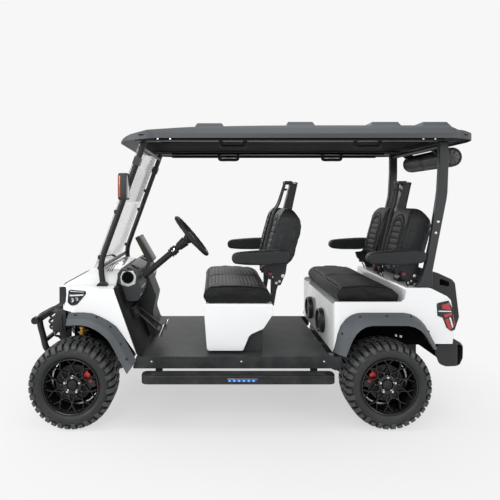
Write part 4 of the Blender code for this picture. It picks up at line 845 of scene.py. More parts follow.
def tyre_mesh():
    """An all-terrain tyre about the origin, its outer side towards +Y."""
    bm = bmesh.new()
    shade_and_highlight = bm.verts.layers.float.new("shade_and_highlight")
    line = TyreLine()
    tyre_carcass(bm, line, shade_and_highlight)
    for turn in round_about(PITCHES):
        for mirror in (1, -1):
            for corners in SHOULDER_LUGS + INNER_BLOCKS + CENTRE_BLOCKS:
                tread_block(bm, line, corners, turn, mirror, shade_and_highlight)
    return mesh_of(bm, "tyre")


RIM_OUT = high("rim_front_left").y - middle("tyre_front_left").y
FLANGE = (high("rim_front_left").z - low("rim_front_left").z) / 2
HUB_FACE = RIM_OUT - 0.040
SPOKES = 10
LUG_CIRCLE = 0.053


def wheel_lathe(bm, profile, spot=ORIGIN, segments=60, closed=False):
    """A turned part of the wheel, on an axis along its axle."""
    add_lathe(bm, profile, spot, ACROSS, segments, closed)


def barrel(bm):
    """Rim barrel with its outer lip, drop centre and inner flange, as one ring."""
    # Depths below the flange's radius and behind the lip, in millimetres, over the outside and back inside
    line = [(0, 4), (1, 1), (4, 0), (7, 1.5), (9, 6), (12, 13), (15, 19), (16, 50), (22, 70), (22, 130),
            (14, 165), (13, 186), (4, 196), (1, 194), (1, 188), (11, 180), (11.5, 160), (18, 128), (18, 72),
            (11.5, 40), (11.5, 18), (3, 12)]
    profile = [(FLANGE - deep / 1000, RIM_OUT - back / 1000) for deep, back in line]
    wheel_lathe(bm, profile, segments=96, closed=True)


def wheel_point(radius, degrees, out):
    turn = math.radians(degrees)
    return Vector((radius * math.cos(turn), out, radius * math.sin(turn)))


def spoke_bar(bm, start, end, width_start, width_end, deep):
    """A tapered bar of the wheel's face with a raised spine along its middle."""
    along = (end - start).normalized()
    side = along.cross(ACROSS).normalized()
    out = side.cross(along).normalized()
    if out.y < 0:
        out = -out
    half = [(-0.575, -1.0), (-0.5, -0.35), (-0.225, -0.06)]
    section = half + [(-u, v) for u, v in reversed(half)]
    join_rings(bm, [[bm.verts.new(place + side * (u * width) + out * (v * deep)) for u, v in section]
                    for place, width in ((start, width_start), (end, width_end))])


def rim_mesh():
    """Gloss rim: barrel, dished hub and a net of bars that fork, meet their neighbours and fork again."""
    bm = bmesh.new()
    barrel(bm)
    face = HUB_FACE
    wheel_lathe(bm, [(0.056, face - 0.046), (0.062, face - 0.030), (0.065, face - 0.010),
                     (0.062, face - 0.002), (0.057, face), (0.040, face - 0.004), (0.036, face - 0.012),
                     (0.030, face - 0.014)])
    half_pitch = 180 / SPOKES
    for k in range(SPOKES):
        at = 2 * half_pitch * k
        fork = wheel_point(0.082, at, face + 0.002)
        meet = wheel_point(0.121, at + half_pitch, face + 0.008)
        second = wheel_point(0.137, at + half_pitch, face + 0.011)
        spoke_bar(bm, wheel_point(0.050, at, face - 0.001), fork, 0.0170, 0.0125, 0.018)
        for lean in (-half_pitch, half_pitch):
            spoke_bar(bm, fork, wheel_point(0.121, at + lean, face + 0.008), 0.0098, 0.0088, 0.016)
        spoke_bar(bm, meet, second, 0.0110, 0.0105, 0.016)
        for lean in (-10, 10):
            end = wheel_point(FLANGE - 0.0115, at + half_pitch + lean, face + 0.018)
            spoke_bar(bm, second, end, 0.0090, 0.0080, 0.016)
        for spot, radius in ((fork, 0.0085), (meet, 0.0065)):
            wheel_lathe(bm, [(radius, -0.016), (radius, -0.003), (radius * 0.6, 0.0004)], spot, 12)
        stud = wheel_point(FLANGE - 0.0150, at, face + 0.018)
        wheel_lathe(bm, [(0.0040, -0.010), (0.0040, 0.0), (0.0028, 0.0015)], stud, 10)
    return mesh_of(bm, "rim")


def lug_mesh():
    """Five lug nuts on their seats."""
    bm = bmesh.new()
    for k in range(5):
        seat = wheel_point(LUG_CIRCLE, 72 * k + 18, HUB_FACE - 0.004)
        wheel_lathe(bm, [(0.0105, -0.004), (0.0105, 0.001), (0.0088, 0.002)], seat, 24)
        wheel_lathe(bm, [(0.0088, 0.0), (0.0088, 0.012), (0.0078, 0.0150), (0.0040, 0.0158)], seat, 6)
    return mesh_of(bm, "lug_nuts")


def cap_mesh():
    """The plain centre cap."""
    bm = bmesh.new()
    wheel_lathe(bm, [(0.031, 0), (0.032, 0.010), (0.030, 0.014), (0.025, 0.0145), (0.023, 0.012),
                     (0.012, 0.0135), (0.003, 0.014)], (0, HUB_FACE - 0.012, 0), 40)
    return mesh_of(bm, "centre_cap")


def disc_mesh():
    """Vented brake disc with its hat, and the rims of its cooling holes."""
    bm = bmesh.new()
    wheel_lathe(bm, [(0.036, 0.0185), (0.038, 0.024), (0.060, 0.0245), (0.060, 0.0205), (0.124, 0.0205),
                     (0.1250, 0.0215), (0.1250, 0.0240), (0.1215, 0.0245), (0.1215, 0.0255), (0.1250, 0.0260),
                     (0.1250, 0.0285), (0.124, 0.0295), (0.078, 0.0295), (0.074, 0.0330), (0.062, 0.0340),
                     (0.058, 0.0460)], segments=72)
    for k in range(30):
        for radius, shift in ((0.092, 0), (0.108, 4)):
            at = wheel_point(radius, 12 * k + shift, 0.0296)
            wheel_lathe(bm, [(0.0032, 0.0), (0.0026, 0.0006), (0.0020, 0.0006), (0.0018, 0.0)], at, 8,
                        closed=True)
    return mesh_of(bm, "brake_disc")


def valve_mesh():
    """The tyre's valve, leaning out of the barrel."""
    bm = bmesh.new()
    foot = wheel_point(FLANGE - 0.024, 45, RIM_OUT - 0.030)
    add_rod(bm, foot, wheel_point(FLANGE - 0.030, 45, RIM_OUT - 0.008), 0.0035, 12, 0.001)
    return mesh_of(bm, "valve")


# Part of a wheel: its mesh, finish, material slot, shading angle
WHEEL_PARTS = {
    "tyre": (tyre_mesh(), "tyre_rubber", "tyre_rubber", 28),
    "rim": (rim_mesh(), "gloss_black", "rim_gloss_black", 30),
    "lug_nuts": (lug_mesh(), "bright_steel", "rim_gloss_black", 30),
    "centre_cap": (cap_mesh(), "black_plastic", "rim_gloss_black", 30),
    "brake_disc": (disc_mesh(), "dark_steel", "cast_grey", 30),
    "valve": (valve_mesh(), "black_plastic", "tyre_rubber", 30),
}


def wheels():
    """The four wheels, each turned so that its outer face looks away from the body."""
    for end, label, side in WHEELS:
        spin = Matrix.Rotation(math.radians(0 if side > 0 else 180), 4, "Z")
        place = Matrix.Translation(middle(f"tyre_{end}_{label}")) @ spin
        for part, (mesh, finish, slot, sharp) in WHEEL_PARTS.items():
            own = mesh.copy()
            own.transform(place)
            name = f"{part}_of_{end}_{label}_wheel"
            made = piece_of(name, own, finish, f"wheel_{end}_{label}", sharp)
            if part in ("tyre", "rim"):
                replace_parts(made, f"{part}_{end}_{label}")


def add_sector(bm, hub, radii, degrees, out, rounding=0.003):
    """A block bent round an axle along Y: radii, angles in degrees and y as (from, to)."""
    turns = spread(*degrees, 9)
    outline = [wheel_point(radii[1], turn, out[0]) for turn in turns]
    outline += [wheel_point(radii[0], turn, out[0]) for turn in reversed(turns)]
    add_prism(bm, [hub + p for p in outline], (0, out[1] - out[0], 0), rounding)


def calipers():
    """Red cast calipers over the discs, and the pressed shields behind: both stay when the wheel spins."""
    for end, label, side in WHEELS:
        hub = middle(f"tyre_{end}_{label}")
        hub.y = 0
        degrees, body = ((183, 137), f"knuckle_{label}") if end == "front" else ((-3, 43), CHASSIS)
        face, back = 0.5580 * side, 0.4790 * side
        cast, shield = several(2)
        add_sector(cast, hub, (0.086, 0.1625), degrees, (0.5425 * side, face))
        add_sector(cast, hub, (0.086, 0.1625), degrees, (back, 0.5265 * side))
        add_sector(cast, hub, (0.1290, 0.1630), degrees, (back, face), rounding=0.002)
        for share in (0.3, 0.7):
            spot = hub + wheel_point(0.118, degrees[0] + (degrees[1] - degrees[0]) * share, face)
            add_lathe(cast, [(0.015, -0.002), (0.015, 0.002), (0.012, 0.0035), (0.004, 0.003)], spot,
                      ACROSS * side, 20)
        add_lathe(shield, [(0.052, -0.0010), (0.056, -0.0045), (0.120, -0.0045), (0.128, -0.0085),
                           (0.158, -0.0085), (0.1640, -0.0010), (0.1650, 0.0040), (0.1625, 0.0040),
                           (0.1610, -0.0020), (0.156, -0.0060), (0.130, -0.0060), (0.121, -0.0020),
                           (0.056, -0.0020)], hub + ACROSS * (0.4720 * side), ACROSS * side, 64, closed=True)
        piece(f"caliper_{end}_{label}", cast, "brake_red", body)
        piece(f"brake_shield_{end}_{label}", shield, "ceiling_black", body)


wheels()
calipers()


# ---------------------------------------------------------------------------------------------
# Seats
# ---------------------------------------------------------------------------------------------


def step_between(value, start, stop):
    t = np.clip((value - start) / (stop - start), 0, 1)
    return t * t * (3 - 2 * t)


def groove(distance, width):
    return np.exp(-(distance / width) ** 2)


def grooves(value, pitch, width):
    """Grooves at every pitch, and the share of the way from one to the next."""
    phase = (value / pitch) % 1.0
    return groove(np.minimum(phase, 1 - phase) * pitch, width), phase


def rounded_rect(u, v, half_u, half_v, radius):
    """Distance from a rounded rectangle's rim, negative inside."""
    du, dv = np.abs(u) - half_u + radius, np.abs(v) - half_v + radius
    outside = np.hypot(np.maximum(du, 0), np.maximum(dv, 0))
    return outside + np.minimum(np.maximum(du, dv), 0) - radius


def triples(items, what):
    """A vector value of every vertex or face, as rows."""
    found = np.zeros(len(items) * 3)
    items.foreach_get(what, found)
    return found.reshape(-1, 3)


def coordinates(mesh):
    return triples(mesh.vertices, "co")


def normals(mesh):
    return triples(mesh.vertices, "normal")


def set_coordinates(mesh, points):
    mesh.vertices.foreach_set("co", points.ravel())
    mesh.update()


def settled(obj):
    """Replaces an object's mesh by what its modifiers make of it."""
    bpy.context.view_layer.update()
    made = bpy.data.meshes.new_from_object(obj.evaluated_get(bpy.context.evaluated_depsgraph_get()))
    obj.modifiers.clear()
    obj.data = made


STUFFING = {"use_pressure": True, "uniform_pressure_force": 4.0, "quality": 4, "tension_stiffness": 20,
            "compression_stiffness": 20, "bending_stiffness": 3}


def stuffed(obj, most):
    """Swells a pad with cloth under pressure, moving no point further than most."""
    points = coordinates(obj.data)
    cloth = obj.modifiers.new("stuffing", "CLOTH")
    for key, value in STUFFING.items():
        setattr(cloth.settings, key, value)
    cloth.settings.effector_weights.gravity = 0.0
    cloth.collision_settings.use_collision = False
    scene = bpy.context.scene
    for step in range(1, 15):
        scene.frame_set(step)
    settled(obj)
    scene.frame_set(1)
    moved = coordinates(obj.data) - points
    far = np.linalg.norm(moved, axis=1, keepdims=True)
    set_coordinates(obj.data, points + moved * np.minimum(1.0, most / np.maximum(far, 1e-9)))


def soft_pad(node, name, voxel, shrink, swell, shape, finish):
    """A padded piece in a CAD pad's place: remeshed, stuffed, subdivided, then shaped and sewn by shape()."""
    mesh = nodes[node].data.copy()
    if "custom_normal" in mesh.attributes:
        mesh.attributes.remove(mesh.attributes["custom_normal"])
    bm = bmesh.new()
    bm.from_mesh(mesh)
    bmesh.ops.remove_doubles(bm, verts=bm.verts, dist=0.00002)
    bm.to_mesh(mesh)
    bm.free()
    pad = bpy.data.objects.new(name, mesh)
    bpy.context.scene.collection.objects.link(pad)
    remesh = pad.modifiers.new("even_mesh", "REMESH")
    remesh.mode = "VOXEL"
    remesh.voxel_size = voxel
    settled(pad)
    set_coordinates(pad.data, coordinates(pad.data) - normals(pad.data) * shrink)
    stuffed(pad, swell)
    fine = pad.modifiers.new("fine", "SUBSURF")
    fine.levels = fine.render_levels = 1
    settled(pad)
    bottom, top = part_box(node)
    points, shade_and_highlight = shape(coordinates(pad.data), normals(pad.data), bottom, top)
    for axis in range(3):
        points[:, axis] = np.clip(points[:, axis], bottom[axis] + 0.0004, top[axis] + 0.002)
    set_coordinates(pad.data, points)
    # The painted shade values go onto the mesh
    pad.data.attributes.new("shade_and_highlight", "FLOAT", "POINT").data.foreach_set("value", shade_and_highlight.astype(np.float32))
    pad.data.materials.clear()
    pad.data.materials.append(FINISH[finish])
    pad.data.shade_smooth()
    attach(pad, CHASSIS)
    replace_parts(pad, node)
    return pad


RIB_PITCH = 0.027
BRICK_LENGTH = 0.050


def sewn_cushion(points, normal, bottom, top):
    """Two quilted seats side by side: ribs across, rows of stitching, a border and a stitched centre line,
    with painted shade in their grooves.
    """
    x, y, z = points[:, 0] - bottom.x, np.abs(points[:, 1]), points[:, 2]
    up = step_between(normal[:, 2], 0.35, 0.75)
    length = top.x - bottom.x
    border = rounded_rect(x - length * 0.53, y - 0.226, length * 0.5 - 0.052, 0.202, 0.045)
    inside = step_between(-border, 0.002, 0.014)
    rib, phase = grooves(x, RIB_PITCH, 0.0032)
    shift = 0.5 * (np.floor(x / RIB_PITCH) % 2)
    rows, _ = grooves(y + shift * BRICK_LENGTH, BRICK_LENGTH, 0.0034)
    swell = np.sin(np.pi * phase) * 0.0008 * inside
    lines = groove(border, 0.0040)
    centre = groove(y, 0.0060)
    side_seam = groove(z - (top.z - 0.034), 0.0028) * (1 - up)
    depth = 0.0034 * lines + 0.0050 * centre + inside * (0.0019 * rib + 0.0017 * rows) - swell
    pulled = 0.006 * groove(z - bottom.z, 0.030) * (1 - up) * (np.abs(normal[:, 2]) < 0.6)
    depth = depth * up + 0.0022 * side_seam + pulled
    # Painted shade values along the sewn grooves and the stitched line on the side
    shade_and_highlight = up * (lines + centre + inside * (rib + rows) * 0.55) * 0.75 + side_seam * 0.6
    return points - normal * depth[:, None], np.clip(shade_and_highlight, 0, 1)


CHANNEL_PITCH = 0.045


def behind_shell_line(points, bottom):
    """How far ahead of a seat back's shell line points lie. The line follows the back's rear face."""
    rear = np.interp(points[:, 2] - bottom.z, [0.0, 0.06, 0.238, 0.331, 0.424],
                     [0.115, 0.058, 0.008, 0.0, 0.050])
    return points[:, 0] - bottom.x - rear - 0.050


def sewn_back(points, normal, bottom, top):
    """An arch of padding over ribs on the front, piping down both sides, and a hard shell behind."""
    y = points[:, 1] - (bottom.y + top.y) / 2
    z = points[:, 2] - bottom.z
    front = step_between(normal[:, 0] * 0.97 + normal[:, 2] * 0.22, 0.45, 0.85)
    arch_z, wide = 0.272, 0.108
    arch = np.where(z > arch_z, np.hypot(y, z - arch_z) - wide, np.maximum(np.abs(y) - wide, 0.045 - z))
    inner = arch + 0.030
    inside = step_between(-inner, 0.0, 0.010)
    rib, phase = grooves(z - 0.02, CHANNEL_PITCH, 0.0040)
    lines = groove(arch, 0.0042) + groove(inner, 0.0042)
    swell = 0.0026 * np.sin(np.pi * phase) * inside
    roll = 0.003 * groove(arch + 0.015, 0.009)
    flank = step_between(np.abs(normal[:, 1]), 0.2, 0.6) + step_between(normal[:, 2], 0.5, 0.9)
    joint = groove(behind_shell_line(points, bottom), 0.0032) * np.clip(flank, 0, 1)
    edge = groove(np.abs(y) - 0.152, 0.0030) * front
    depth = front * (0.0048 * lines + 0.0040 * rib * inside - swell - roll) + 0.0040 * joint + 0.0028 * edge
    # Painted shade values along the sewn lines, the ribs, the shell joint and the side edges
    shade_and_highlight = front * (lines + rib * inside * 0.8) * 0.75 + joint + edge * 0.6
    return points - normal * depth[:, None], np.clip(shade_and_highlight, 0, 1)


def sewn_arm(points, normal, bottom, top):
    """A plain pad with a sewn line round each side face."""
    flank = step_between(np.abs(normal[:, 1]), 0.25, 0.7)
    from_middle = np.abs(points[:, 1] - (bottom.y + top.y) / 2)
    line = groove(from_middle - (top.y - bottom.y) / 2 + 0.012, 0.0024) * (1 - flank)
    # The sewn line gets painted shade values
    return points - normal * (0.0022 * line)[:, None], np.clip(line * 0.7, 0, 1)


def give_shell(pad, node):
    """Faces behind a seat back's side stitching take the hard shell's finish, its flanks the smooth paler hide
    as a painted highlight.
    """
    for finish in ("black_plastic", "pale_hide"):
        pad.data.materials.append(FINISH[finish])
    faces = pad.data.polygons
    # Flanks facing sideways get a painted highlight
    flank = np.abs(triples(faces, "normal")[:, 1]) > 0.45
    behind = behind_shell_line(triples(faces, "center"), low(node)) < 0
    faces.foreach_set("material_index", np.where(behind, 1, np.where(flank, 2, 0)).astype(np.int32))


def seats():
    for row in ENDS:
        soft_pad(f"{row}_cushion", f"{row}_seat_cushion", 0.010, 0.004, 0.010, sewn_cushion, "seat_hide")
        for label, _ in SIDES:
            node = f"{row}_back_{label}"
            back = soft_pad(node, f"{row}_seat_back_{label}", 0.009, 0.002, 0.0045, sewn_back, "seat_hide")
            give_shell(back, node)
            soft_pad(f"{row}_armrest_{label}", f"{row}_arm_pad_{label}", 0.007, 0.000, 0.006, sewn_arm,
                     "pale_hide")


seats()


# ---------------------------------------------------------------------------------------------
# Belts and seat fittings
# ---------------------------------------------------------------------------------------------

# x and z along one belt, and down the tower behind it, in the front row
BELT_LINE = [(-0.336, 1.690), (-0.316, 1.620), (-0.282, 1.520), (-0.240, 1.452), (-0.206, 1.340),
             (-0.178, 1.230), (-0.152, 1.110), (-0.146, 1.040), (-0.170, 0.985)]
TOWER_LINE = [(-0.352, 1.694), (-0.424, 1.694), (-0.422, 1.660), (-0.388, 1.500), (-0.343, 1.250),
              (-0.296, 1.020)]
# Ahead of and above the buckle
STALK_LINE = [(-0.035, -0.075), (-0.018, -0.040), (-0.004, -0.014)]
# x, z and radius
SEAT_FRAME_BOLTS = [(-0.206, 0.962, 0.006), (-0.228, 0.974, 0.006), (-0.252, 1.012, 0.009),
                    (-0.176, 1.004, 0.005), (-0.250, 1.140, 0.006)]


def belts():
    """Two belts a row with their guides and buckles, and the seat frames' bolts and hinges."""
    for row in ENDS:
        shift = middle(f"{row}_back_left").x - middle("front_back_left").x
        lean = low(f"{row}_seat_frame").x - low("front_seat_frame").x - shift
        seat, tower = AHEAD * shift, AHEAD * (shift + lean)
        straps, guides, stalks, buckles, hinges, bolts = several(6)
        face = high(f"{row}_seat_frame").y - 0.0315
        for _, side in SIDES:
            route = []
            for i, (x, z) in enumerate(BELT_LINE):
                out = 0.030 + 0.052 * math.sin(i / (len(BELT_LINE) - 1) * 2.0)
                nod = lean * min(1.0, max(0.0, (z - 1.40) / 0.25))
                route.append((x + shift + nod + 0.004, out * side, z))
            add_ribbon(straps, smooth_route(route, 44), 0.031, 0.0024, (0.40, -0.91 * side, 0.08))
            back_route = [tower + Vector((x - 0.003, 0.020 * side, z)) for x, z in TOWER_LINE]
            add_ribbon(straps, smooth_route(back_route, 30), 0.036, 0.0022)
            box_by(guides, tower, (-0.388, 0.004 * side, 1.680), (-0.326, 0.056 * side, 1.706), 0.004)
            box_by(guides, tower, (-0.346, 0.010 * side, 1.630), (-0.318, 0.052 * side, 1.646), 0.003)
            for x, y, z in ((-0.160, 0.462, 1.018), (-0.150, 0.052, 1.000)):
                spot = seat + Vector((x, y * side, z))
                stalk = [spot + Vector((ahead, 0, up)) for ahead, up in STALK_LINE]
                add_ribbon(stalks, smooth_route(stalk, 8), 0.020, 0.008)
                box_by(stalks, spot, (-0.013, -0.013, -0.026), (0.013, 0.013, 0.016), 0.004)
                box_by(buckles, spot, (-0.011, -0.0145, 0.002), (0.0145, 0.0145, 0.023), 0.004)
            for x, z, size in SEAT_FRAME_BOLTS:
                bolt(bolts, (x + shift, face * side, z), ACROSS * side, size)
            add_lathe(hinges, [(0.020, 0.0), (0.020, 0.024), (0.014, 0.030)],
                      (-0.248 + shift, (face + 0.0005) * side, 1.148), ACROSS * side, 28)
        piece(f"{row}_belts", straps, "belt_webbing")
        piece(f"{row}_belt_guides", guides, "black_plastic")
        piece(f"{row}_buckle_stalks", stalks, "black_plastic")
        piece(f"{row}_buckle_buttons", buckles, "buckle_red")
        piece(f"{row}_seat_bolts", bolts, "bright_steel")
        piece(f"{row}_arm_hinges", hinges, "satin_black_steel")


def seat_piping():
    """Cord sewn along the top rim of each cushion, in the paler hide: a painted highlight along the rim."""
    for row in ENDS:
        surface = surface_of(bpy.data.objects[f"{row}_seat_cushion"].data)
        bottom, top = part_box(f"{row}_cushion")
        mid_x, corner = (top.x + bottom.x) / 2, 0.055
        reach_x, reach_y = (top.x - bottom.x) / 2 - 0.030 - corner, top.y - 0.030 - corner
        loop = []
        for start, way_x, way_y in ((0, 1, 1), (90, -1, 1), (180, -1, -1), (270, 1, -1)):
            for k in range(7):
                turn = math.radians(start + 15 * k)
                x, y = way_x * reach_x, way_y * reach_y
                loop.append((x + corner * math.cos(turn), y + corner * math.sin(turn)))
        starts = [Vector((mid_x + x, y, top.z + 0.1)) for x, y in subdivided(loop, 0.02, int)]
        hits = [surface.ray_cast(start, -UP)[0] for start in starts]
        bm = bmesh.new()
        add_pipe(bm, [hit + UP * 0.0006 for hit in hits if hit], 0.0026, 8, closed=True)
        # The cord's paler hide is a painted highlight
        piece(f"{row}_cushion_piping", bm, "pale_hide")


belts()
seat_piping()


# ---------------------------------------------------------------------------------------------
# Lamps
# ---------------------------------------------------------------------------------------------


def headlamps():
    """Inside each headlamp: two light strips, and below them a dark insert with two reflectors and lenses."""
    for label, side in SIDES:
        node = f"headlight_{label}"
        bars, strip, bowls, lens = several(4)
        add_patch(strip, node, side, 0.0022, (1.229, 0.902), (1.131, 0.905), (1.138, 0.896), (1.230, 0.892))
        add_patch(strip, node, side, 0.0014, (1.225, 0.928), (1.133, 0.922), (1.134, 0.919), (1.226, 0.924))
        add_patch(bars, node, side, 0.0012, (1.232, 0.887), (1.148, 0.891), (1.185, 0.842), (1.222, 0.836),
                  (1.236, 0.852))
        for x, z, r in ((1.213, 0.866, 0.015), (1.180, 0.872, 0.011)):
            seat = surface_at(node, (x, side, z), (0, -side, 0))
            add_lathe(bowls, [(r, -0.002), (r, 0.0026), (r * 0.84, 0.0032), (r * 0.78, 0.0014),
                              (r * 0.30, 0.0008)], seat, (0.25, side, 0), 28)
            add_lathe(lens, [(r * 0.66, 0.0010), (r * 0.60, 0.0030), (r * 0.30, 0.0046), (r * 0.06, 0.0050)],
                      seat, (0.25, side, 0), 24)
        piece(f"headlamp_strip_{label}", strip, "lamp_white")
        piece(f"headlamp_insert_{label}", bars, "gloss_black")
        piece(f"headlamp_bowls_{label}", bowls, "chrome")
        piece(f"headlamp_lenses_{label}", lens, "lamp_clear")


def tail_lamps():
    """Raised red bars and clear streaks on the smoked body of each tail lamp."""
    for label, side in SIDES:
        node = f"tail_light_{label}"
        clear, bars = several(2)
        add_patch(bars, node, side, 0.0024, (-1.338, 0.828), (-1.388, 0.842), (-1.400, 0.792),
                  (-1.340, 0.800))
        add_patch(bars, node, side, 0.0024, (-1.350, 0.762), (-1.404, 0.774), (-1.408, 0.756),
                  (-1.358, 0.738))
        add_patch(bars, node, side, 0.0024, (-1.360, 0.726), (-1.380, 0.734), (-1.406, 0.664),
                  (-1.392, 0.655), (-1.378, 0.668))
        add_patch(bars, node, side, 0.0020, (-1.412, 0.768), (-1.419, 0.748), (-1.428, 0.690),
                  (-1.419, 0.688))
        add_patch(clear, node, side, 0.0030, (-1.314, 0.788), (-1.402, 0.786), (-1.403, 0.779),
                  (-1.316, 0.780))
        add_patch(clear, node, side, 0.0030, (-1.388, 0.738), (-1.399, 0.742), (-1.416, 0.676),
                  (-1.409, 0.668))
        piece(f"tail_lamp_clear_{label}", clear, "lamp_white")
        piece(f"tail_lamp_bars_{label}", bars, "tail_red")


def mirror_parts():
    """The amber repeater on the mirror's front and the glass behind."""
    bottom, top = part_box("mirror")
    repeater, glass = several(2)
    y = top.y - 0.006
    add_box(repeater, (top.x - 0.020, y - 0.060, bottom.z + 0.020),
            (top.x - 0.002, y + 0.0066, top.z - 0.018), 0.005)
    add_box(glass, (bottom.x - 0.0008, y - 0.100, bottom.z + 0.014),
            (bottom.x + 0.004, y - 0.008, top.z - 0.014), 0.0015)
    piece("mirror_repeater", repeater, "amber_lens")
    piece("mirror_glass", glass, "mirror_glass")


headlamps()
tail_lamps()
mirror_parts()


# ---------------------------------------------------------------------------------------------
# Dash and controls
# ---------------------------------------------------------------------------------------------


def dash_ends():
    """Silver end panels of the dash with round vents."""
    for label, side in SIDES:
        end = high("dashboard").y * side
        silver, ring, mesh = several(3)
        panel = [(0.906, 1.006), (0.890, 1.044), (0.815, 1.047), (0.794, 1.008), (0.800, 0.956),
                 (0.849, 0.936), (0.900, 0.950)]
        add_plate(silver, panel, high("dashboard").y - 0.012, 0.0165, side, 0.0020)
        vent = Vector((0.852, end + 0.0045 * side, 1.002))
        add_lathe(ring, [(0.0440, 0.0), (0.0440, 0.0018), (0.0425, 0.0030), (0.0385, 0.0030), (0.0370, 0.0)],
                  vent, ACROSS * side, 48, closed=True)
        add_lathe(mesh, [(0.0385, -0.002), (0.0385, 0.0008), (0.012, 0.0010), (0.011, 0.0026),
                         (0.002, 0.0028)], vent, ACROSS * side, 40)
        for k in range(-2, 3):
            half, z = math.sqrt(0.0370 ** 2 - (0.014 * k) ** 2), 0.014 * k
            box_by(mesh, vent, (-half, 0.0004 * side, z - 0.0012), (half, 0.0026 * side, z + 0.0012), 0.0008)
        piece(f"dash_end_panel_{label}", silver, "dash_silver")
        piece(f"dash_vent_ring_{label}", ring, "gloss_black")
        piece(f"dash_vent_{label}", mesh, "ceiling_black")


def dash_parts():
    """Display glass, switches and trim lines."""
    glass, keys, trim = several(3)
    tilt = Vector((0.833 - 0.716, 0, 1.272 - 1.070)).normalized()
    face = Vector((-tilt.z, 0, tilt.x))
    foot = Vector((0.716, 0, 1.070)) + tilt * 0.012
    corners = ((-0.098, 0), (0.098, 0), (0.098, 0.205), (-0.098, 0.205))
    outline = [foot + ACROSS * y + tilt * up - face * 0.0005 for y, up in corners]
    add_prism(glass, outline, face * 0.0017, 0.0006)
    for hit in route_on("dashboard", [(0.437, 0.205 + 0.034 * k, 0.905) for k in range(5)], AHEAD):
        box_by(keys, hit, (-0.004, -0.011, -0.014), (0.004, 0.011, 0.014), 0.002)
    for z in (0.925, 0.868):
        for a, b in ((-0.425, -0.135), (0.135, 0.425)):
            add_pipe(trim, route_on("dashboard", [(0.4, y, z) for y in spread(a, b, 20)], AHEAD), 0.0022, 8)
    # The display glass carries a painted olive reflection in its tint
    piece("display_glass", glass, "screen_glass_painted_olive_reflection")
    piece("dash_switches", keys, "gloss_black")
    piece("dash_trim_lines", trim, "chrome")


def pedal_pads():
    """Ribbed rubber pads in bright frames on the two pedals."""
    bottom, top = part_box("pedals")
    frames, pads = several(2)
    turn = Matrix.Rotation(math.radians(-24), 4, "Y")
    starts = [(0.2, y, bottom.z + 0.045) for y in (bottom.y + 0.036, top.y - 0.036)]
    for hit in route_on("pedals", starts, AHEAD):
        box_by(frames, hit, (-0.004, -0.038, -0.040), (0.002, 0.038, 0.046), 0.002, turn)
        for k in range(6):
            z = -0.030 + 0.013 * k
            box_by(pads, hit, (-0.0085, -0.032, z), (-0.0030, 0.032, z + 0.007), 0.0012, turn)
    piece("pedal_frames", frames, "bright_steel")
    piece("pedal_pads", pads, "ribbed_rubber")


def steering_axis(way):
    """The steering wheel's hub, and its axis pointing up for 1 or down the column for -1."""
    joint = next(j for j in frame["joints"] if j["child"] == "steering_wheel")
    axis = Vector(joint["axis"]).normalized()
    return Vector(joint["pos_m"]), axis if axis.z * way > 0 else -axis


def wheel_parts():
    """A padded rim cover with finger bulges, spokes' trim and a plain hub pad on the steering wheel."""
    lowest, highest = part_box("steering_wheel")
    hub, axis = steering_axis(1)
    place = Matrix.Translation(hub) @ turned_to(axis)
    radius = (highest.y - lowest.y) / 2 - 0.0150
    cover, pad, trim = several(3)

    def spot(reach, turn, up):
        return place @ Vector((reach * math.cos(turn), reach * math.sin(turn), up))

    rings = []
    for turn in round_about(120):
        thick = 0.0148 + 0.0007 * math.cos(turn * 20)
        rings.append([cover.verts.new(spot(radius + thick * math.cos(around), turn, thick * math.sin(around)))
                      for around in round_about(12)])
    join_rings(cover, rings, closed=True)
    add_lathe(pad, [(0.046, -0.016), (0.050, -0.008), (0.046, 0.000), (0.030, 0.005), (0.004, 0.007)], hub,
              axis, 36)
    add_lathe(trim, [(0.0510, -0.012), (0.0530, -0.010), (0.0530, -0.006), (0.0510, -0.004)], hub, axis, 40,
              closed=True)
    for degrees in (80, 180, 280):
        a, b = spot(0.060, math.radians(degrees), -0.009), spot(0.150, math.radians(degrees), 0.003)
        add_ribbon(trim, [a, (a + b) / 2, b], 0.014, 0.004, axis.cross(b - a))
    for name, bm, finish in (("rim_cover", cover, "pale_hide"), ("hub_pad", pad, "black_plastic"),
                             ("trim", trim, "satin_black_steel")):
        piece(f"steering_{name}", bm, finish, "steering_wheel")


def column_parts():
    """The clamp and its bright lever on the steering column, and the lever's bolts."""
    hub, axis = steering_axis(-1)
    collar, lever = several(2)
    for at, radius, tall in ((0.150, 0.0345, 0.010), (0.196, 0.0345, 0.010), (0.172, 0.0360, 0.016)):
        profile = [(radius - 0.002, 0), (radius, 0.002), (radius, tall - 0.002), (radius - 0.002, tall)]
        add_lathe(collar, profile, hub + axis * at, axis, 32)
    route = [hub + axis * at + Vector(off) for at, off in
             ((0.180, (-0.01, 0.030, 0.012)), (0.186, (-0.02, 0.060, 0.022)), (0.190, (-0.02, 0.092, 0.034)))]
    add_pipe(lever, smooth_route(route, 12), 0.0045, 10)
    for _, side in SIDES:
        bolt(lever, hub + axis * 0.181 + Vector((0, 0.032 * side, 0.010)), (0, side, 0.3), 0.007, 0.006)
    piece("column_clamp", collar, "satin_black_steel")
    piece("column_lever", lever, "bright_steel")


dash_ends()
dash_parts()
pedal_pads()
wheel_parts()
column_parts()


# ---------------------------------------------------------------------------------------------
# Body fittings
# ---------------------------------------------------------------------------------------------


BOARD_TOP = 0.384


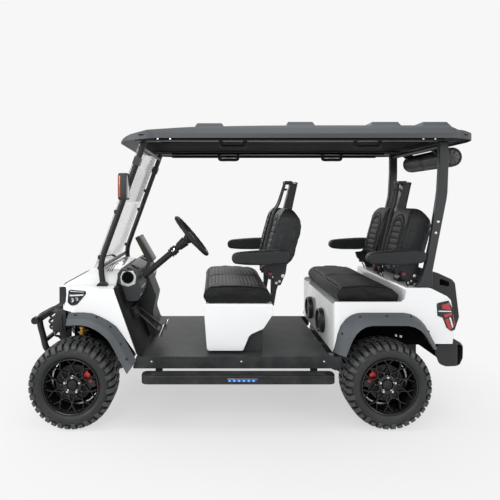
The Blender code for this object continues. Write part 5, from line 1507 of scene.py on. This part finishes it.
def steps():
    """Ribbed treads and a blue light strip in its panel on the running boards."""
    for label, side in SIDES:
        bottom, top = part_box(f"side_step_{label}")
        outer = top.y if side > 0 else bottom.y
        tread, strip, panel, trim = several(4)
        for k in range(6):
            y = outer - (0.026 + 0.0105 * k) * side
            add_box(tread, (bottom.x + 0.062, y - 0.0030, BOARD_TOP - 0.0046),
                    (top.x - 0.062, y + 0.0030, BOARD_TOP - 0.0004), 0.0012)
        face = outer + 0.0002 * side
        corners = ((0.250, 0.336), (0.215, 0.368), (-0.142, 0.368), (-0.175, 0.336))
        add_prism(panel, [(x, face, z) for x, z in corners], (0, 0.0024 * side, 0), 0.0010)
        add_box(strip, (-0.045, face, 0.3480), (0.142, face + 0.0040 * side, 0.3580), 0.0014)
        add_box(trim, (-0.050, face, 0.3640), (0.148, face + 0.0036 * side, 0.3668), 0.0010)
        piece(f"step_light_trim_{label}", trim, "bright_steel")
        piece(f"step_tread_{label}", tread, "ribbed_rubber")
        piece(f"step_light_panel_{label}", panel, "gloss_black")
        piece(f"step_light_{label}", strip, "blue_light_strip")


def speaker_parts():
    """Punched grilles, bright rings and screws on the two loudspeakers."""
    for label, _ in SIDES:
        centre = middle(f"speaker_{label}")
        centre.x = high(f"speaker_{label}").x
        mesh, ring, screws = several(3)
        spot = centre - AHEAD * 0.0255
        add_lathe(mesh, [(0.074, 0.014), (0.066, 0.010), (0.040, 0.004), (0.033, 0.0045), (0.028, 0.0155),
                         (0.016, 0.0200), (0.003, 0.0212)], spot, AHEAD, 48)
        add_lathe(ring, [(0.0905, 0.0205), (0.0905, 0.0262), (0.0860, 0.0275), (0.0800, 0.0262),
                         (0.0790, 0.0205)], spot, AHEAD, 56, closed=True)
        for y, z in circle(0.0845, 4, math.radians(45)):
            bolt(screws, centre + Vector((0, y, z)), AHEAD, 0.0030, 0.002)
        piece(f"speaker_cone_{label}", mesh, "speaker_mesh")
        piece(f"speaker_ring_{label}", ring, "gloss_black")
        piece(f"speaker_screws_{label}", screws, "bright_steel")


# Rows of bolts on the cart's sides: name, finish, the node they sit on, radius, places as (x, z)
SIDE_BOLTS = (
    ("rear_strut_bolts", "bright_steel", "rear_struts", 0.0060, ((-1.336, 1.400), (-1.316, 1.322))),
    ("sill_bolts", "bright_steel", "floor_deck", 0.0045, ((0.668, 0.440), (0.050, 0.440), (-0.520, 0.440))),
    ("front_flare_clips", "black_plastic", "front_flare_left", 0.0065,
     ((1.180, 0.768), (1.040, 0.752), (0.945, 0.690), (0.872, 0.580), (0.828, 0.480))),
    ("rear_flare_clips", "black_plastic", "rear_flare_left", 0.0060,
     ((-0.640, 0.640), (-0.760, 0.752), (-0.940, 0.758), (-1.110, 0.752), (-1.222, 0.655))),
)


def bolt_rows():
    for name, finish, node, radius, places in SIDE_BOLTS:
        bm = bmesh.new()
        for label, side in SIDES:
            starts = [(x, side, z) for x, z in places]
            for hit in route_on(node.replace("left", label), starts, ACROSS * -side):
                if abs(hit.y) > 0.3:
                    bolt(bm, hit, ACROSS * side, radius, radius * 0.7)
        piece(name, bm, finish)


def suspension_parts():
    """Coil springs round the front dampers, their collars and stops, and bright plates beside the frame."""
    springs, collars, plates = several(3)
    for _, side in SIDES:
        foot, head = Vector((1.205, 0.342 * side, 0.250)), Vector((1.205, 0.270 * side, 0.655))
        along = (head - foot).normalized()
        one = along.orthogonal().normalized()
        two = along.cross(one)
        coil = []
        for share in spread(0, 1, 7 * 14 + 1):
            turn = 2 * math.pi * 7 * share
            coil.append(foot + (head - foot) * (0.06 + 0.86 * share)
                        + (one * math.cos(turn) + two * math.sin(turn)) * 0.043)
        add_pipe(springs, coil, 0.0062, 8)
        for share in (0.03, 0.95):
            add_lathe(collars, [(0.034, -0.006), (0.050, -0.004), (0.050, 0.004), (0.034, 0.006)],
                      foot + (head - foot) * share, along, 28, closed=True)
        add_lathe(collars, [(0.016, 0.0), (0.016, 0.012), (0.009, 0.015), (0.009, 0.036), (0.015, 0.039),
                            (0.015, 0.050), (0.006, 0.052)], (1.186, 0.420 * side, 0.593), UP, 20)
        add_plate(plates, [(1.038, 0.338), (0.966, 0.332), (0.953, 0.396), (1.034, 0.403)], 0.219, 0.005,
                  side, 0.001)
    piece("front_springs", springs, "spring_gold")
    piece("spring_collars", collars, "spring_gold")
    piece("frame_side_plates", plates, "bright_steel")


def arch_parts():
    """Inner panels that close the wheel arches, their bolts, and the dark strip on the nose's corners."""
    for label, side in SIDES:
        rear, front, nose, bolts = several(4)
        add_plate(rear, [(-0.640, 0.742), (-1.225, 0.742), (-1.335, 0.640), (-1.350, 0.500), (-1.170, 0.500),
                         (-1.090, 0.540), (-0.760, 0.540)], 0.366, 0.006, side, 0.002)
        add_plate(front, [(0.860, 0.470), (0.930, 0.640), (1.040, 0.735), (1.236, 0.742), (1.290, 0.700),
                          (1.296, 0.520), (1.100, 0.500), (0.960, 0.420)], 0.232, 0.005, side, 0.002)
        for x, z in ((-1.085, 0.566), (-1.120, 0.560), (-1.235, 0.690)):
            bolt(bolts, (x, 0.372 * side, z), ACROSS * side, 0.0065, 0.005)
        add_patch(nose, "front_cowl", side, 0.0016, (1.275, 0.944), (1.330, 0.938), (1.330, 0.812),
                  (1.298, 0.806), (1.278, 0.840), (1.271, 0.890))
        piece(f"rear_arch_panel_{label}", rear, "ceiling_black")
        piece(f"front_arch_panel_{label}", front, "ceiling_black")
        piece(f"arch_bolts_{label}", bolts, "bright_steel")
        piece(f"nose_strip_{label}", nose, "gloss_black")


def across_route(*half):
    """A smooth route across the cart, from the points of its left half, the outermost first."""
    left = [Vector(p) for p in half]
    return smooth_route([Vector((p.x, -p.y, p.z)) for p in left[:-1]] + left[::-1], 40)


def grille_bumper():
    """The front bumper: upright plates with inner legs, a top and a foot bar, and slats that sweep back."""
    bottom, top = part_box("front_bumper")
    plates, slats = several(2)
    for _, side in SIDES:
        add_plate(plates, [(1.398, 0.602), (1.404, 0.640), (1.396, 0.706), (1.372, 0.752), (1.318, top.z),
                           (1.300, 0.750), (1.306, 0.602)], 0.372, 0.040, side, 0.006)
        add_plate(plates, [(1.384, 0.614), (1.388, 0.640), (1.380, 0.700), (1.330, 0.730), (1.322, 0.614)],
                  0.412, 0.008, side, 0.004)
        add_plate(plates, [(1.392, 0.556), (1.398, 0.612), (1.306, 0.612), (1.306, 0.520), (1.330, 0.500),
                           (1.372, 0.510)], 0.262, 0.032, side, 0.006)
        add_box(plates, (1.310, 0.262 * side, 0.602), (1.390, 0.408 * side, 0.614), 0.003)
        add_plate(plates, [(1.330, 0.620), (1.330, 0.690), (1.240, 0.700), (1.240, 0.630)], 0.300, 0.050,
                  side, 0.004)
    for k in range(6):
        z = 0.528 + 0.040 * k
        reach = top.x - 0.012 - 0.006 * abs(k - 3)
        wide = 0.376 if z > 0.60 else 0.290
        route = across_route((1.352, wide, z + 0.008), (reach - 0.030, wide * 0.88, z + 0.002),
                             (reach, wide * 0.66, z), (reach, 0.0, z))
        add_ribbon(slats, route, 0.020, 0.007, (0.35, 0, 1))
    for z, radius, wide in ((bottom.z + 0.016, 0.015, 0.270), (top.z - 0.030, 0.016, 0.385)):
        add_pipe(plates, across_route((1.340, wide, z), (1.400, wide * 0.86, z), (1.420, 0, z)), radius, 14)
    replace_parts(piece("front_bumper_frame", plates, "bumper_black"), "front_bumper")
    piece("front_bumper_slats", slats, "gloss_black")


def roof_parts():
    """The dark ceiling under the roof with its two long rails, and the lip that hangs round its edge."""
    ceiling, rails, grips, bolts = several(4)
    for k in range(15):
        y = -0.588 + 0.084 * k
        under = [x for x in spread(-1.500, 0.820, 117) if surface_at("roof", (x, y, 1.990), UP)]
        if under:
            add_box(ceiling, (min(under) + 0.01, y - 0.039, 1.9900), (max(under) - 0.01, y + 0.039, 1.9940),
                    0.0015)
    for _, side in SIDES:
        rail = [(x, 0.43 * side, z) for x, z in ((-1.30, 1.972), (-0.4, 1.976), (0.62, 1.972))]
        add_pipe(rails, rail, 0.009, 10)
        add_box(rails, (-1.300, 0.636 * side, 1.9560), (0.640, 0.648 * side, 1.9700), 0.002)
        for x in (0.613, 0.530, -1.155, -1.235):
            bolt(bolts, (x, 0.6485 * side, 1.9615), ACROSS * side, 0.0045, 0.003)
        for x in (0.105, -0.842):
            grip = ((-0.085, 1.982), (-0.085, 1.940), (-0.070, 1.925), (0, 1.925), (0.070, 1.925),
                    (0.085, 1.940), (0.085, 1.982))
            add_pipe(grips, smooth_route([(x + ahead, 0.485 * side, z) for ahead, z in grip], 30), 0.0145, 14)
    piece("roof_ceiling", ceiling, "ceiling_black")
    piece("roof_rails", rails, "ceiling_black")
    piece("roof_grip_sleeves", grips, "black_plastic")
    piece("roof_edge_bolts", bolts, "bright_steel")


def guard_parts():
    """The bent tubes of the brush guard, a little stouter than the CAD ones."""
    tubes = bmesh.new()
    hoop = [(1.3615, 0.300, 0.733), (1.402, 0.300, 0.750), (1.478, 0.300, 0.716), (1.534, 0.300, 0.668),
            (1.508, 0.300, 0.540), (1.476, 0.300, 0.445), (1.420, 0.216, 0.424), (1.3095, 0.195, 0.421)]
    for _, side in SIDES:
        add_pipe(tubes, smooth_route([(x, y * side, z) for x, y, z in hoop], 60), 0.0225, 16)
        add_pipe(tubes, [(1.553, y * side, 0.668) for y in (0.316, 0.334, 0.351)], 0.0265, 20)
    for x, y, z, radius in ((1.542, 0.330, 0.656, 0.0175), (1.500, 0.301, 0.503, 0.0170)):
        add_pipe(tubes, [(x, -y, z), (x, 0.0, z), (x, y, z)], radius, 16)
    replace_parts(piece("brush_guard_tubes", tubes, "satin_black_steel"), "brush_guard")


def cowl_parts():
    """Air slots at the screen's foot and the wiper on its spindle."""
    slots, wiper = several(2)
    for a, b in ((0.13, 0.36), (-0.36, -0.13)):
        for x in (0.985, 1.000, 1.015):
            route = route_on("front_cowl", [(x, y, 1.4) for y in spread(a, b, 14)], -UP, UP * 0.0005)
            add_ribbon(slots, route, 0.007, 0.0030, AHEAD)
    sweep = [(1.6, -0.10 + 0.46 * share, 1.100 + 0.035 * share) for share in spread(0, 1, 20)]
    route = route_on("windshield", sweep, -AHEAD, AHEAD * 0.007)
    add_ribbon(wiper, route, 0.008, 0.006, UP)
    add_rod(wiper, route[0] - Vector((0.03, 0, 0.02)), route[0] + AHEAD * 0.008, 0.009, 16, 0.002)
    piece("cowl_air_slots", slots, "black_plastic")
    piece("wiper", wiper, "black_plastic")


def sound_bar_parts():
    """Punched grilles on the sound bar's ends and along its lower front, with rings and hoops round it."""
    centre = Vector((-1.509, 0, 1.869))
    ends, rings, dots, grille, hoops = several(5)
    for _, side in SIDES:
        spot = centre + ACROSS * (high("sound_bar").y - 0.001) * side
        add_lathe(ends, [(0.055, 0.0), (0.052, 0.003), (0.020, 0.006), (0.003, 0.0065)], spot, ACROSS * side,
                  40)
        add_lathe(rings, [(0.0695, -0.004), (0.0695, 0.003), (0.066, 0.005), (0.057, 0.005), (0.056, 0.0)],
                  spot, ACROSS * side, 48, closed=True)
        for k in range(8):
            turn = math.radians(45 * k + 22)
            bar = spot + Vector((0.028 * math.cos(turn), 0, 0.028 * math.sin(turn)))
            box_by(rings, bar, (-0.0015, 0.004 * side, -0.0240), (0.0015, 0.0075 * side, 0.0240), 0.0008,
                   Matrix.Rotation(math.radians(90) - turn, 4, "Y"))
    for y0, y1 in ((-0.32, -0.03), (0.03, 0.32)):
        turns = [math.radians(degrees) for degrees in range(-62, 40, 12)]
        outer = [(0.0712 * math.cos(turn), 0.0712 * math.sin(turn)) for turn in turns]
        inner = [(x * 0.97, z * 0.97) for x, z in reversed(outer)]
        add_prism(grille, [centre + Vector((x, y0, z)) for x, z in outer + inner], (0, y1 - y0, 0))
        add_lathe(dots, [(0.0070, 0.0), (0.0060, 0.009), (0.0020, 0.0105)], spot, ACROSS * side, 12)
        for reach, count in ((0.018, 6), (0.031, 10), (0.045, 14)):
            for x, z in circle(reach, count, math.pi / count):
                add_lathe(dots, [(0.0026, 0.0), (0.0022, 0.0030), (0.0008, 0.0036)],
                          spot + Vector((x, 0.003 * side, z)), ACROSS * side, 8)
    for k in range(30):
        y = (0.030 + 0.0205 * (k // 2)) * (1 if k % 2 else -1)
        add_lathe(hoops, [(0.0700, -0.0042), (0.0722, -0.0020), (0.0722, 0.0020), (0.0700, 0.0042),
                          (0.0690, 0.0)], centre + ACROSS * y, ACROSS, 36, closed=True)
    piece("sound_bar_hoops", hoops, "black_plastic")
    piece("sound_bar_dots", dots, "dash_silver")
    piece("sound_bar_ends", ends, "speaker_mesh")
    piece("sound_bar_rings", rings, "black_plastic")
    piece("sound_bar_grilles", grille, "speaker_mesh")


def strut_parts():
    """Windscreen clips on the front struts, with a bolt in each."""
    clips, bolts = several(2)
    for _, side in SIDES:
        for hit in route_on("front_struts", [(2.0, 0.476 * side, z) for z in (1.150, 1.470, 1.640)], -AHEAD):
            box_by(clips, hit, (-0.010, -0.016, -0.014), (0.010, 0.010, 0.014), 0.003)
            bolt(bolts, hit + AHEAD * 0.009, AHEAD, 0.005, 0.004)
    piece("screen_clips", clips, "black_plastic")
    piece("screen_clip_bolts", bolts, "satin_black_steel")


steps()
speaker_parts()
bolt_rows()
suspension_parts()
arch_parts()
grille_bumper()
guard_parts()
roof_parts()
cowl_parts()
sound_bar_parts()
strut_parts()


# ---------------------------------------------------------------------------------------------
# Floor, light and camera
# ---------------------------------------------------------------------------------------------


PAPER_WHITE = 0.93
# Name, place, width across and power of each lamp
LAMPS = (
    ("key", (1.6, 5.2, 3.6), 3.6, 150), ("top", (-0.4, 0.6, 5.4), 4.5, 100),
    ("front", (5.0, 1.4, 2.4), 2.8, 110), ("rear", (-4.6, 3.4, 2.2), 2.8, 70),
    ("back", (1.0, -4.4, 3.4), 3.0, 60),
)


def seen_directly(tree):
    """1 for rays from the camera, through glass or off a glossy surface."""
    rays = shader_node(tree, "ShaderNodeLightPath").outputs
    seen = sum_of(tree, "MAXIMUM", rays["Is Camera Ray"], rays["Is Transmission Ray"])
    return sum_of(tree, "MAXIMUM", seen, rays["Is Glossy Ray"])


def studio():
    """A pale floor that keeps a soft shadow, a white surround and five large soft lamps."""
    bm = bmesh.new()
    bmesh.ops.create_grid(bm, x_segments=2, y_segments=2, size=40)
    mesh = mesh_of(bm, "studio_floor")
    floor = bpy.data.objects.new("studio_floor", mesh)
    bpy.context.scene.collection.objects.link(floor)
    floor.location.z = -0.002
    made, tree, shader = new_material("studio_floor")
    tree.nodes.remove(shader)
    soft = shader_node(tree, "ShaderNodeBsdfDiffuse", {"Color": (0.74, 0.74, 0.74, 1)})
    glow = shader_node(tree, "ShaderNodeEmission", {"Color": (1, 1, 1, 1), "Strength": PAPER_WHITE})
    reach = shader_node(tree, "ShaderNodeVectorMath", {0: place_of(tree)}, operation="LENGTH")
    far = ranged(tree, reach.outputs["Value"], 0.8, 2.5, 0.58, 1.0)
    share = sum_of(tree, "MULTIPLY", seen_directly(tree), far)
    mix = shader_node(tree, "ShaderNodeMixShader", {0: share, 1: soft.outputs[0], 2: glow.outputs[0]})
    put(tree, tree.nodes["Material Output"], {"Surface": mix.outputs[0]})
    mesh.materials.append(made)

    world = bpy.data.worlds.new("studio")
    bpy.context.scene.world = world
    world.use_nodes = True
    tree = world.node_tree
    strength = ranged(tree, seen_directly(tree), 0.0, 1.0, 0.50, PAPER_WHITE)
    put(tree, tree.nodes["Background"], {"Color": (1, 1, 1, 1), "Strength": strength})

    aim = (cad_low + cad_high) / 2
    for name, place, size, power in LAMPS:
        data = bpy.data.lights.new(name, "AREA")
        data.shape = "DISK"
        data.size = size
        data.energy = power
        lamp = bpy.data.objects.new(name, data)
        lamp.location = place
        lamp.rotation_euler = (aim - Vector(place)).to_track_quat("-Z", "Y").to_euler()
        bpy.context.scene.collection.objects.link(lamp)


def camera():
    """A level camera on the driver's side, a little ahead of the middle and at a standing adult's chest."""
    data = bpy.data.cameras.new("camera")
    data.sensor_width = 36
    data.lens = 32.33
    data.shift_x = 0.071
    data.shift_y = -0.098
    eye = bpy.data.objects.new("camera", data)
    eye.location = (0.235, 3.64, 1.546)
    eye.rotation_euler = (math.radians(90), 0, math.radians(180))
    bpy.context.scene.collection.objects.link(eye)
    bpy.context.scene.camera = eye
    bpy.context.scene.view_settings.view_transform = "Standard"


studio()
camera()
